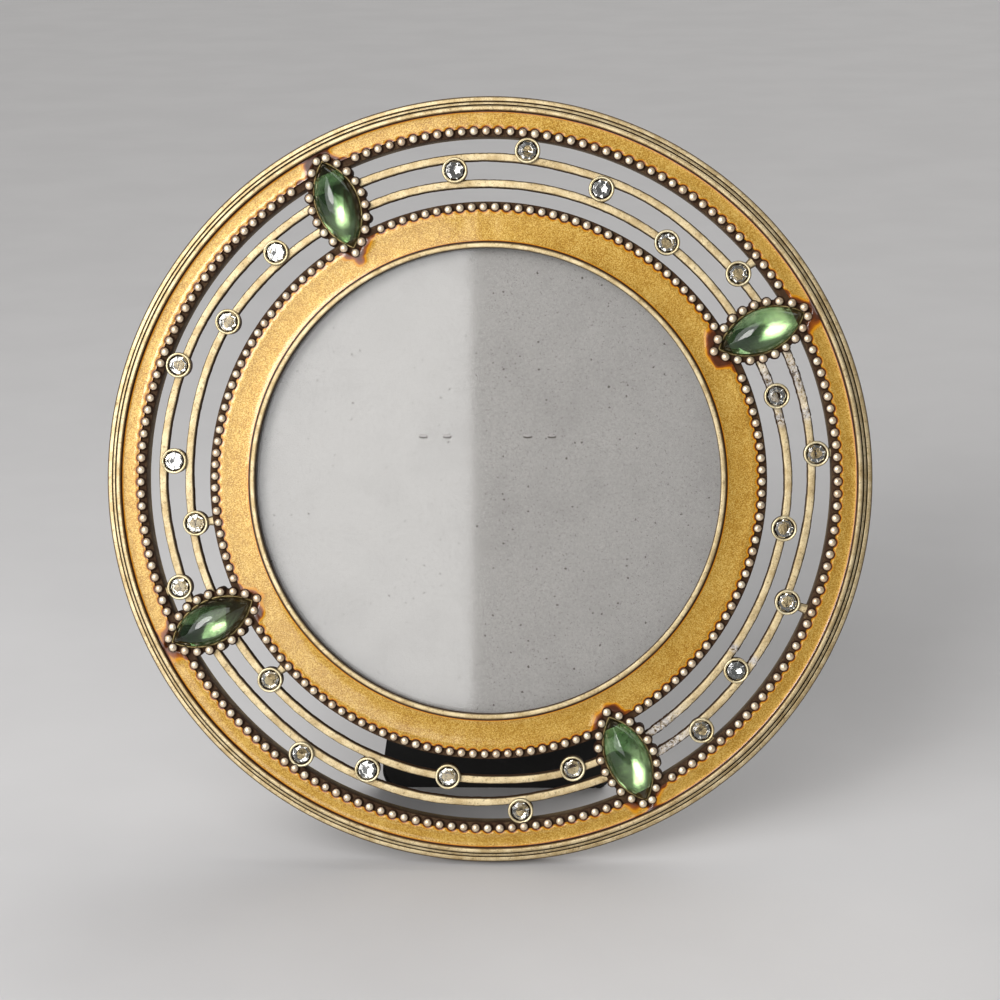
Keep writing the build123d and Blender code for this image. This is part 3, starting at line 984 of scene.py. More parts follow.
class CopyTree:
    """Geometry nodes that set copies of a shape on the points of a mesh."""

    INPUTS = {
        "Shape": "NodeSocketObject", "Finish": "NodeSocketMaterial", "Smallest": "NodeSocketFloat",
        "Largest": "NodeSocketFloat", "Turn spread": "NodeSocketFloat", "Lift spread": "NodeSocketFloat",
        "Seed": "NodeSocketInt"}

    def __init__(self) -> None:
        """Builds the tree."""
        self.tree = bpy.data.node_groups.new("copies_on_points", "GeometryNodeTree")
        sockets = self.tree.interface
        sockets.new_socket("Geometry", in_out="INPUT", socket_type="NodeSocketGeometry")
        for name, kind in self.INPUTS.items():
            sockets.new_socket(name, in_out="INPUT", socket_type=kind)
        sockets.new_socket("Geometry", in_out="OUTPUT", socket_type="NodeSocketGeometry")
        self.given = self.tree.nodes.new("NodeGroupInput").outputs
        given = self.given
        original = {"transform_space": "ORIGINAL"}
        shape = self._node("GeometryNodeObjectInfo", original, {"Object": given["Shape"]}, "Geometry")
        size = self._chance(given["Smallest"], given["Largest"])
        own = self._node("GeometryNodeInputNamedAttribute", {"data_type": "FLOAT"}, {"Name": "turn"})
        twist = self._about_zero("Turn spread")
        turn = self._node("ShaderNodeMath", {"operation": "ADD"}, {0: own, 1: twist})
        angles = self._node("ShaderNodeCombineXYZ", {}, {"Z": turn})
        rotation = self._node("FunctionNodeEulerToRotation", {}, {0: angles})
        offset = self._node("ShaderNodeCombineXYZ", {}, {"Z": self._about_zero("Lift spread")})
        moved = self._node("GeometryNodeSetPosition", {}, {"Geometry": given["Geometry"], "Offset": offset})
        copies = self._node("GeometryNodeInstanceOnPoints", {}, {
            "Points": moved, "Instance": shape, "Rotation": rotation, "Scale": size})
        real = self._node("GeometryNodeRealizeInstances", {}, {"Geometry": copies})
        dressed = self._node("GeometryNodeSetMaterial", {}, {"Geometry": real, "Material": given["Finish"]})
        out = self.tree.nodes.new("NodeGroupOutput")
        self.tree.links.new(dressed, out.inputs[0])

    def _node(self, kind: str, settings: dict, inputs: dict, output: int | str = 0) -> bpy.types.NodeSocket:
        """Adds a node.

        Args:
            kind: The node's type.
            settings: Its properties, set first.
            inputs: Values or output sockets for its inputs.
            output: The socket that is returned.

        Returns:
            The node's output.
        """
        made = self.tree.nodes.new(kind)
        for name, value in settings.items():
            setattr(made, name, value)
        for key, value in inputs.items():
            if isinstance(value, bpy.types.NodeSocket):
                self.tree.links.new(value, made.inputs[key])
            else:
                made.inputs[key].default_value = value
        return made.outputs[output]

    def _chance(self, low: bpy.types.NodeSocket, high: bpy.types.NodeSocket) -> bpy.types.NodeSocket:
        """A random value between two for each copy."""
        limits = {2: low, 3: high, "Seed": self.given["Seed"]}
        return self._node("FunctionNodeRandomValue", {"data_type": "FLOAT"}, limits, 1)

    def _about_zero(self, name: str) -> bpy.types.NodeSocket:
        """A random value for each copy, up to the named spread to either side of zero.

        Args:
            name: The input that holds the spread.

        Returns:
            The value's socket.
        """
        spread = self.given[name]
        below = self._node("ShaderNodeMath", {"operation": "MULTIPLY"}, {0: spread, 1: -1.0})
        return self._chance(below, spread)

    def copies(self, name: str, shape: Form, places: list[Place], finish: bpy.types.Material, matrix: Matrix,
               scatter: Scatter) -> bpy.types.Mesh:
        """Sets copies of a shape at places and gives the plain mesh of all of them.

        Args:
            name: The mesh's name.
            shape: The shape, about its own origin, in millimetres.
            places: Where the copies go.
            finish: The material of all of them.
            matrix: From the places' frame to the row frame.
            scatter: How they vary.

        Returns:
            The mesh in the row frame.
        """
        points = bpy.data.meshes.new("points")
        points.from_pydata([p[:3] for p in places], [], [])
        points.attributes.new("turn", "FLOAT", "POINT").data.foreach_set("value", [p[3] for p in places])
        pattern, holder = stand("pattern", shape.mesh("pattern")), stand("holder", points)
        modifier = holder.modifiers.new("copies", "NODES")
        modifier.node_group = self.tree
        values = {"Shape": pattern, "Finish": finish, "Smallest": scatter.size * (1 - scatter.size_spread),
                  "Largest": scatter.size * (1 + scatter.size_spread), "Turn spread": scatter.turn_spread,
                  "Lift spread": scatter.lift_spread, "Seed": scatter.seed}
        for item in self.tree.interface.items_tree:
            if item.name in values:
                modifier[item.identifier] = values[item.name]
        graph = bpy.context.evaluated_depsgraph_get()
        graph.update()
        mesh = bpy.data.meshes.new_from_object(holder.evaluated_get(graph))
        mesh.name = name
        mesh.transform(matrix)
        for thing in (holder, pattern):
            bpy.data.objects.remove(thing)
        return mesh


@dataclass(frozen=True)
class Navette:
    """A pointed oval of two arcs, its long axis along x."""

    length: float
    width: float

    @property
    def side_radius(self) -> float:
        """Radius of each side's arc."""
        return (self.length**2 + self.width**2) / (4 * self.width)

    @property
    def side_centre(self) -> float:
        """Distance of each arc's centre from the long axis."""
        return self.side_radius - self.width / 2

    def grown(self, growth: float) -> "Navette":
        """The outline offset outwards by growth."""
        half = math.sqrt(max((self.side_radius + growth) ** 2 - self.side_centre**2, 1e-6))
        return Navette(2 * half, self.width + 2 * growth)

    def outline(self, steps: int) -> np.ndarray:
        """Points round it, from the inner tip.

        Args:
            steps: How many points, an even number.

        Returns:
            The points' two coordinates.
        """
        share = np.arange(steps) / steps
        side = np.where(share < 0.5, 1.0, -1.0)
        half_turn = math.acos(self.side_centre / self.side_radius)
        turn = half_turn * (4 * (share % 0.5) - 1) * side
        return np.stack([self.side_radius * np.sin(turn),
                         side * (self.side_radius * np.cos(turn) - self.side_centre)], -1)

    def beyond(self, x: np.ndarray, y: np.ndarray) -> np.ndarray:
        """Signed distance of points from the outline, below zero inside.

        Args:
            x: The points' coordinates along the oval.
            y: Their coordinates across it.

        Returns:
            The distances.
        """
        half, past_tip = self.length / 2, 1.02
        side = np.hypot(x, np.abs(y) + self.side_centre) - self.side_radius
        return np.where(np.abs(x) > half * past_tip, np.hypot(np.abs(x) - half, y), side)


@dataclass(frozen=True)
class SettingPlace:
    """Where a navette setting lies on the openwork."""

    angle: float
    tilt: float
    radius: float = 59.2

    @property
    def heading(self) -> float:
        """Direction of the setting's long axis, in radians."""
        return math.radians(self.angle + self.tilt)

    @property
    def middle(self) -> tuple[float, float]:
        """The setting's middle in the front plane."""
        turn = math.radians(self.angle)
        return self.radius * math.cos(turn), self.radius * math.sin(turn)

    @property
    def matrix(self) -> Matrix:
        """From the setting's own frame to the front plane."""
        return Matrix.Translation((*self.middle, 0)) @ Matrix.Rotation(self.heading, 4, "Z")

    def local(self, x: np.ndarray, y: np.ndarray) -> tuple[np.ndarray, np.ndarray]:
        """Front plane coordinates as coordinates along and across the setting.

        Args:
            x: The points' coordinates to the right.
            y: Their coordinates up the face.

        Returns:
            The coordinates along and across.
        """
        right, up = x - self.middle[0], y - self.middle[1]
        cosine, sine = math.cos(self.heading), math.sin(self.heading)
        return right * cosine + up * sine, up * cosine - right * sine


@dataclass(frozen=True)
class Settings:
    """The four beaded navette settings and their cabochons."""

    places: tuple[SettingPlace, ...] = (
        SettingPlace(28.7, -5.5), SettingPlace(118.2, -8.0, 59.7), SettingPlace(206.9, 0.5),
        SettingPlace(296.9, -2.5))
    stone: Navette = Navette(17.0, 8.0)
    # Direction of the stones' painted highlight, away from the light, in degrees.
    painted_highlight_side: float = -35.0
    seat_gap: float = 0.03
    bead_radius: float = 1.0
    bead_count: int = 19
    bead_offset: float = 1.0
    bead_skirt: float = 3.6667
    plate_margin: float = 0.35
    bezel_width: float = 0.28
    bezel_height: float = 5.25
    girdle_height: float = 0.3
    seat_height: float = 4.5
    dome_height: float = 3.6
    dome_end_power: float = 0.9
    back_share: float = 0.985
    back_bevel: float = 0.1
    outline_steps: int = 96
    dome_steps: int = 20

    @property
    def bead_line(self) -> Navette:
        """The line that the beads stand on."""
        return self.stone.grown(self.bead_offset)

    @property
    def plate(self) -> Navette:
        """Outline of the plate under the beads."""
        return self.bead_line.grown(self.plate_margin)

    def blocked(self, x: float, y: float, reach: float) -> bool:
        """Whether a bead of that reach at this point runs into a setting."""
        edge = self.bead_line.grown(self.bead_radius)
        return any(edge.beyond(*place.local(np.array(x), np.array(y))) < reach for place in self.places)

    def plate_form(self) -> Form:
        """The plate with the raised bezel round the stone's seat.

        Returns:
            The form in the setting's frame.
        """
        plate, stone, bottom = self.plate, self.stone, SIZES.setting_bottom_height
        bezel, bezel_top, gap = self.bezel_width, self.bezel_height, self.seat_gap
        layers = (
            (plate, -0.7, bottom, 0.9), (plate, -0.15, bottom, 0.9), (plate, 0.0, bottom + 0.25, 0.9),
            (plate, 0.0, 4.2, 1.0), (plate, -0.25, 4.6, 0.9), (stone, bezel + 0.25, 4.72, 0.9),
            (stone, bezel + 0.04, 4.85, 0.7), (stone, bezel, 5.1, 0.15), (stone, bezel - 0.1, bezel_top, 0.0),
            (stone, 0.08, bezel_top, 0.0), (stone, gap, 5.1, 0.5), (stone, gap, self.seat_height, 1.0))
        rings = [lifted(base.grown(growth).outline(self.outline_steps), height)
                 for base, growth, height, _ in layers]
        recess = np.array([value for *_, value in layers])
        return Form().skin(np.array(rings), recess[:, None], caps=True)

    def stone_form(self, place: SettingPlace) -> Form:
        """The cabochon: a low girdle, a dome that is round across, and foil on its flat back.

        Args:
            place: Where the stone lies, which tells the side away from the light.

        Returns:
            The form in the setting's frame, its pool mark for painted light rising away from the light.
        """
        count = self.outline_steps
        outline = self.stone.outline(count)
        base, top = self.seat_height, self.seat_height + self.girdle_height
        rings = [lifted(outline * self.back_share, base), lifted(outline, base + self.back_bevel),
                 lifted(outline, top)]
        for step in range(1, self.dome_steps):
            turn = math.pi / 2 * step / self.dome_steps
            shrunk = outline * np.array([math.cos(turn) ** self.dome_end_power, math.cos(turn)])
            rings.append(lifted(shrunk, top + self.dome_height * math.sin(turn)))
        form = Form().skin(np.array(rings))
        form.fan((0.0, 0.0, top + self.dome_height), count)
        form.faces.append(list(range(count))[::-1])
        form.finishes.append(1)
        # The pool mark places painted shade on the stone's side to the light and a painted highlight on the
        # far side.
        away = math.radians(self.painted_highlight_side) - place.heading
        along, across = math.cos(away), math.sin(away)
        reach = abs(along) * self.stone.length + abs(across) * self.stone.width
        form.pool = [0.5 + (x * along + y * across) / reach for x, y, _ in form.points]
        return form

    def bead_places(self) -> list[Place]:
        """Places of all the setting beads in the front plane."""
        return [(*(place.matrix @ Vector((x, y, SIZES.setting_top_height))), 0.0)
                for place in self.places for x, y in self.bead_line.outline(self.bead_count)]

    def build(self, copier: CopyTree, finishes: "Finishes") -> None:
        """Builds the settings, their beads and the stones.

        Args:
            copier: Makes the repeated beads.
            finishes: The materials.
        """
        for number, place in enumerate(self.places, 1):
            matrix = PLANE.matrix @ place.matrix
            put(self.plate_form().mesh(f"setting_{number}", matrix), [finishes.setting], Slot.GOLD)
            stone = self.stone_form(place).mesh(f"navette_stone_{number}", matrix, sharp_angle=60.0)
            put(stone, [finishes.green, finishes.green_foil], Slot.GREEN, f"cabochon_{number}")
        scatter = Scatter(seed=5, size=self.bead_radius, size_spread=0.05, lift_spread=0.04)
        beads = copier.copies("setting_beads", bead_form(self.bead_skirt), self.bead_places(), finishes.bead,
                              PLANE.matrix, scatter)
        put(beads, [finishes.bead], Slot.GOLD)


def bead_form(skirt: float) -> Form:
    """A cast bead: the upper half of a ball of radius 1, on a round foot.

    Args:
        skirt: How far the foot goes down.

    Returns:
        The form about the ball's centre.
    """
    foot_radius, steps = 0.94, 12
    profile = [(math.sin(t), math.cos(t)) for t in np.radians([8, 26, 42, 62, 90])] + [(foot_radius, -skirt)]
    # Recess from the top down: a pale painted highlight on top, painted shade down the sides, patina at the
    # foot.
    recess = np.array([0.0, 0.0, 0.25, 0.95, 1.0, 1.0])
    return Form().skin(turned(np.array(profile), steps), recess[:, None], caps=True)


@dataclass(frozen=True)
class Casting:
    """The rim, the inner ring, the two bead rings and the two hand-bent wires."""

    wire_width: float = 1.75
    wire_side_height: float = 3.2
    bead_skirt: float = 0.6
    bead_lift_share: float = 0.2
    bead_clearance_share: float = 0.75
    stone_clearance: float = 0.5
    stone_seat_clearance: float = 0.3
    rim_sway: float = 0.05
    rim_waves: int = 14
    broad_sway: float = 0.05
    broad_waves: int = 90
    narrow_sway: float = 0.03
    narrow_waves: int = 300
    coarse_scale: float = 1.6
    fine_scale: float = 3.4
    cast_relief: float = 0.05
    crust_relief: float = 0.16
    crust_patina: float = 0.55
    outer_wire_shares: tuple[float, ...] = (
        -0.16, 0.05, -0.05, -0.27, -0.11, -0.27, -0.11, -0.11, 0.05, 0.22, 0.43, 0.33,
        0.27, 0.05, -0.05, -0.22, 0.0, 0.05, -0.16, -0.43, -0.38, -0.33, -0.38, -0.43)
    inner_wire_shares: tuple[float, ...] = (
        0.05, -0.16, -0.38, -0.33, -0.27, -0.27, -0.27, -0.05, 0.05, 0.33, 0.6, 0.33,
        0.11, 0.16, 0.0, -0.05, 0.05, 0.11, 0.11, 0.38, 0.16, -0.11, -0.18, -0.16)
    rim_steps: int = 360
    wire_steps: int = 960
    crust_angles: tuple[tuple[float, float], ...] = ((19.0, 4.5), (305.0, 4.5), (326.0, 0.8), (12.0, 1.2))

    def rim_profile(self) -> tuple[np.ndarray, np.ndarray]:
        """Section of the rim: outer band, two fine ridges, broad ridge, channel and bead band.

        Returns:
            The section's points and their recess values.
        """
        s = SIZES
        return rounded([
            (s.rim_radius, 0.0, 0.3, 0.6), (s.rim_radius, 3.95, 0.3, 0.8), (72.7, 4.15, 0.2, 0.05),
            (72.1, 4.2, 0.12, 0.0), (72.04, 3.8, 0.0, 1.0), (71.9, 3.8, 0.0, 1.0), (71.78, 4.8, 0.1, 0.1),
            (71.36, 4.9, 0.1, 0.1), (71.31, 4.4, 0.0, 1.0), (71.18, 4.4, 0.0, 1.0), (71.08, 5.3, 0.1, 0.6),
            (70.9, s.ridge_height, 0.2, 0.0), (70.3, s.ridge_height, 0.15, 0.0), (70.12, 5.6, 0.05, 0.9),
            (s.channel_radius, 5.0, 0.0, 1.0), (s.channel_radius, 4.6, 0.05, 1.0),
            (s.rim_inner_radius, s.floor_height, 0.25, 0.8), (s.rim_inner_radius, 0.0, 0.3, 0.6),
        ], 4)

    def ring_profile(self) -> tuple[np.ndarray, np.ndarray]:
        """Section of the inner ring: bead band, enamel bed, sight lip and the rebate behind it.

        Returns:
            The section's points and their recess values.
        """
        s = SIZES
        return rounded([
            (s.inner_ring_radius, 0.0, 0.3, 0.6), (s.inner_ring_radius, s.floor_height, 0.25, 0.8),
            (51.0, s.floor_height, 0.0, 1.0), (s.lip_radius, s.floor_height, 0.05, 1.0),
            (s.lip_radius - 0.2, 5.15, 0.0, 1.0), (s.lip_radius - 0.5, 5.75, 0.1, 0.7),
            (s.lip_radius - 0.7, s.lip_height, 0.15, 0.0), (s.sight_radius + 0.1, s.lip_height, 0.25, 0.0),
            (s.sight_radius, 5.6, 0.1, 0.8), (s.sight_radius, s.glass_seat_height, 0.1, 1.0),
            (s.rebate_radius, s.glass_seat_height, 0.0, 1.0), (s.rebate_radius, 0.0, 0.15, 0.6),
        ], 5)

    def wire_form(self, radius: float, shares: tuple[float, ...], seed: float, settings: "Settings") -> Form:
        """One wire: a flat-topped cast bar, hand bent, with crusty patches.

        Args:
            radius: Its mean radius.
            shares: Its sway at even steps, as shares of its width.
            seed: Fixes its unevenness.
            settings: It dips under their stones.

        Returns:
            The form in the front plane.
        """
        half, top, steps = self.wire_width / 2, SIZES.wire_top_height, self.wire_steps
        # The section's recess darkens the side walls: painted shade, together with patina.
        section, recess = rounded(mirrored([
            (half * 0.25, top + 0.02, 0.0, 0.0), (half * 0.66, top, 0.12, 0.0),
            (half * 0.84, top - 0.25, 0.05, 0.95), (half, self.wire_side_height, 0.1, 1.0),
            (half * 0.9, SIZES.wire_bottom_height, 0.2, 1.0)]), 3)
        turns = around(steps)
        broad, narrow = wobble(steps, self.broad_waves, seed), wobble(steps, self.narrow_waves, seed + 3)
        width = 1 + self.broad_sway * broad + self.narrow_sway * narrow
        radii = section[:, :1] * width + radius + periodic(shares, steps) * self.wire_width
        heights = np.repeat(section[:, 1:], steps, 1)
        crust = sum(np.exp(-(((np.degrees(turns) - place + 180) % 360 - 180) / spread) ** 2)
                    for place, spread in self.crust_angles)
        spots = radii * np.cos(turns), radii * np.sin(turns), heights + seed
        coarse, fine = lumps(*spots, self.coarse_scale), lumps(*spots, self.fine_scale)
        relief = self.cast_relief * coarse + self.crust_relief * (coarse + fine) * crust
        heights = heights + np.where(heights > self.wire_side_height - 0.2, relief, 0.0)
        radii = radii + relief * np.sign(section[:, :1]) * 0.8
        x, y = radii * np.cos(turns), radii * np.sin(turns)
        for place in settings.places:
            under = settings.stone.grown(self.stone_clearance).beyond(*place.local(x, y)) < 0
            highest = settings.seat_height - self.stone_seat_clearance
            heights = np.where(under, np.minimum(heights, highest), heights)
        rings = np.stack([x, y, heights], -1)
        # This mark holds the side walls' painted shade and patina, plus the crust's patina.
        patina = recess[:, None] + self.crust_patina * crust * (fine > 0.05)
        return Form().skin(rings, np.clip(patina, 0, 1), np.clip(crust, 0, 1)[None, :], wrap=True)

    def bead_places(self, radius: float, count: int, reach: float, height: float,
                    settings: Settings) -> list[Place]:
        """Places of one ring's beads, left out where a setting lies.

        Args:
            radius: The ring's radius.
            count: Beads in a full ring.
            reach: A bead's radius.
            height: Height of the beads' centres.
            settings: The settings they must miss.

        Returns:
            Each bead's place and turn.
        """
        clearance = reach * self.bead_clearance_share
        spots = [(radius * math.cos(turn), radius * math.sin(turn), height, turn) for turn in around(count)]
        return [spot for spot in spots if not settings.blocked(spot[0], spot[1], clearance)]

    def build(self, copier: CopyTree, settings: Settings, finishes: "Finishes") -> None:
        """Builds the rim, the inner ring, the wires and the bead rings.

        Args:
            copier: Makes the repeated beads.
            settings: Where beads are left out.
            finishes: The materials.
        """
        profile, recess = self.rim_profile()
        sway = self.rim_sway * wobble(self.rim_steps, self.rim_waves, seed=2.0)
        rim = Form().skin(turned(profile, self.rim_steps, sway), recess[:, None], wrap=True)
        mesh = rim.mesh("casting_rim", PLANE.matrix, sharp_angle=55.0)
        put(mesh, [finishes.gold], Slot.GOLD, "frame_casting")
        profile, recess = self.ring_profile()
        ring = Form().skin(turned(profile, self.rim_steps), recess[:, None], wrap=True)
        put(ring.mesh("casting_inner_ring", PLANE.matrix, sharp_angle=55.0), [finishes.gold], Slot.GOLD)
        s = SIZES
        for name, radius, shares, seed in (
            ("outer_wire", s.outer_wire_radius, self.outer_wire_shares, 1.0),
            ("inner_wire", s.inner_wire_radius, self.inner_wire_shares, 7.0),
        ):
            wire = self.wire_form(radius, shares, seed, settings)
            put(wire.mesh(name, PLANE.matrix, sharp_angle=60.0), [finishes.wire], Slot.GOLD)
        for name, line, count, reach, seed in (
            ("outer_beads", s.outer_bead_line, s.outer_bead_count, s.outer_bead_radius, 3),
            ("inner_beads", s.inner_bead_line, s.inner_bead_count, s.inner_bead_radius, 4),
        ):
            height = s.floor_height + self.bead_lift_share * reach
            places = self.bead_places(line, count, reach, height, settings)
            scatter = Scatter(seed, size=reach, size_spread=0.05, lift_spread=0.05)
            bead = bead_form(self.bead_skirt / reach)
            beads = copier.copies(name, bead, places, finishes.bead, PLANE.matrix, scatter)
            put(beads, [finishes.bead], Slot.GOLD)


class Stub(Enum):
    """Which bead band a cup's stub reaches."""

    OUTWARD = 1
    INWARD = -1
    NONE = 0


@dataclass(frozen=True)
class SmallStone:
    """A small stone: its angle, its place between the wires as a share, and its cup's stub."""

    angle: float
    share: float
    stub: Stub = Stub.NONE


@dataclass(frozen=True)
class Brilliants:
    """The small faceted stones in their cups."""

    stones: tuple[SmallStone, ...] = (
        SmallStone(4.8, 1.17, Stub.OUTWARD), SmallStone(16.4, 0.04), SmallStone(39.5, 0.98, Stub.OUTWARD),
        SmallStone(52.9, -0.08), SmallStone(68.5, 0.51), SmallStone(82.9, 1.28, Stub.OUTWARD),
        SmallStone(95.8, 0.48), SmallStone(132.6, 0.48), SmallStone(148.3, 0.23),
        SmallStone(159.3, 1.28, Stub.OUTWARD), SmallStone(176.2, 0.65), SmallStone(188.1, -0.11, Stub.INWARD),
        SmallStone(198.9, 1.14, Stub.OUTWARD), SmallStone(222.3, -0.11, Stub.INWARD),
        SmallStone(235.6, 1.35, Stub.OUTWARD), SmallStone(247.3, 0.61), SmallStone(262.3, 0.0),
        SmallStone(275.7, 1.33, Stub.OUTWARD), SmallStone(286.5, 0.04), SmallStone(310.7, 1.16, Stub.OUTWARD),
        SmallStone(322.8, 0.51), SmallStone(338.1, 0.93, Stub.OUTWARD), SmallStone(351.0, 0.0))
    cup_radius: float = 2.475
    cup_steps: int = 32
    cup_bottom_height: float = 1.6
    stone_radius: float = 1.74
    table_radius: float = 1.05
    crown_height: float = 0.28
    star_radius_share: float = 0.86
    star_height_share: float = 0.42
    girdle_height: float = 0.12
    pavilion_depth: float = 1.55
    seat_drop: float = 0.1
    spin_turns: float = 7.0
    tip_turns: float = 5.0
    tip_angle: float = 0.06
    stub_rings: int = 6
    stub_overlap: float = 0.4
    stub_flare: float = 0.5
    facets: int = 8

    def radius(self, stone: SmallStone) -> float:
        """Distance of a stone from the frame's middle."""
        s = SIZES
        return s.inner_wire_radius + stone.share * (s.outer_wire_radius - s.inner_wire_radius)

    def cup_form(self) -> Form:
        """One cup: round body, rolled rim, and a bore darkened as painted shade.

        Returns:
            The form about the cup's own axis, heights from the flat back.
        """
        r, bottom = self.cup_radius, self.cup_bottom_height
        profile = np.array([
            (r * 0.72, bottom), (r * 0.88, bottom + 0.12), (r * 0.95, bottom + 0.6), (r * 0.965, 4.2),
            (r - 0.02, 4.7), (r - 0.06, 4.9), (r - 0.14, 5.03), (r - 0.26, 5.08), (r - 0.4, 5.06),
            (r - 0.5, 4.96), (r - 0.57, 4.8), (r - 0.62, 4.6), (r - 0.66, 3.3)])
        # Recess paints shade in the bore and, with patina, down the outer body; the rolled rim stays pale.
        recess = np.array([0.9, 0.9, 1.0, 1.0, 0.9, 0.3, 0.0, 0.0, 0.0, 0.2, 0.9, 1.0, 1.0])
        return Form().skin(turned(profile, self.cup_steps), recess[:, None], caps=True)

    def stub_form(self, stone: SmallStone) -> Form:
        """The short bar between a cup and its bead band, like a piece of the wire.

        Args:
            stone: The stone whose cup it carries.

        Returns:
            The form in the front plane.
        """
        s = SIZES
        start = self.radius(stone)
        outward, inward = s.rim_inner_radius + self.stub_overlap, s.inner_ring_radius - self.stub_overlap
        end = outward if stone.stub is Stub.OUTWARD else inward
        # The section's recess darkens the stub's sides: painted shade, together with patina.
        section, recess = rounded(mirrored([
            (0.52, s.wire_top_height, 0.25, 0.2), (0.78, 3.2, 0.1, 0.9),
            (0.72, s.wire_bottom_height, 0.2, 1.0)]), 3)
        turn = math.radians(stone.angle)
        out, across = np.array([math.cos(turn), math.sin(turn)]), np.array([-math.sin(turn), math.cos(turn)])
        rings = []
        for share in np.linspace(0, 1, self.stub_rings):
            flare = 1 + self.stub_flare * max(0.0, share * 2 - 1) ** 2
            middle = out * (start + (end - start) * share)
            rings.append([[*(middle + across * x * flare), z] for x, z in section])
        return Form().skin(np.array(rings), recess[None, :], caps=True)

    def stone_form(self) -> Form:
        """A brilliant: table, crown facets, girdle, and foiled pavilion facets.

        Returns:
            The form about the stone's axis, its girdle at height 0.
        """
        count = self.facets
        turns = around(count)
        half = math.pi / count

        def ring(radius: float, height: float, shift: float) -> list[list[float]]:
            """Points of one ring of corners."""
            return [[radius * math.cos(t + shift), radius * math.sin(t + shift), height] for t in turns]

        form, wide, tall = Form(), self.stone_radius, self.crown_height
        form.points = [*ring(self.table_radius, tall, half),
                       *ring(wide * self.star_radius_share, tall * self.star_height_share, 0.0),
                       *ring(wide, 0.0, half), *ring(wide, -self.girdle_height, half),
                       [0.0, 0.0, -self.pavilion_depth]]
        table, star, girdle, edge, tip = 0, count, 2 * count, 3 * count, 4 * count
        form.faces, form.finishes = [list(range(count))], [0]
        for j in range(count):
            k = (j + 1) % count
            form.faces += [[star + k, table + j, table + k], [star + k, girdle + j, table + j],
                           [star + k, table + k, girdle + k], [star + k, girdle + k, girdle + j],
                           [girdle + j, girdle + k, edge + k, edge + j], [edge + j, edge + k, tip]]
            form.finishes += [0, 0, 0, 0, 0, 1]
        form.recess = [0.0] * len(form.points)
        form.pool = [0.0] * len(form.points)
        return form

    def build(self, copier: CopyTree, finishes: "Finishes") -> None:
        """Builds the cups, their stubs and the stones.

        Args:
            copier: Makes the repeated cups.
            finishes: The materials.
        """
        places = []
        stubs = Form()
        for stone in self.stones:
            turn, radius = math.radians(stone.angle), self.radius(stone)
            places.append((radius * math.cos(turn), radius * math.sin(turn), 0.0, turn))
            if stone.stub is not Stub.NONE:
                stubs.join(self.stub_form(stone))
        cups = copier.copies("stone_cups", self.cup_form(), places, finishes.cup, PLANE.matrix,
                             Scatter(seed=8, lift_spread=0.06))
        put(cups, [finishes.cup], Slot.GOLD)
        put(stubs.mesh("cup_stubs", PLANE.matrix), [finishes.wire], Slot.GOLD)
        for number, (x, y, _, turn) in enumerate(places, 1):
            spin = Matrix.Rotation(turn * self.spin_turns, 4, "Z")
            axis = Vector((math.cos(turn * self.tip_turns), math.sin(turn * self.tip_turns), 0))
            seat = Matrix.Translation((x, y, SIZES.cup_top_height - self.seat_drop))
            matrix = PLANE.matrix @ seat @ Matrix.Rotation(self.tip_angle, 4, axis) @ spin
            gem = self.stone_form().mesh(f"brilliant_{number:02d}", matrix, sharp_angle=1.0)
            put(gem, [finishes.crystal, finishes.silver_foil], Slot.CRYSTAL, f"small_stone_{number:02d}")


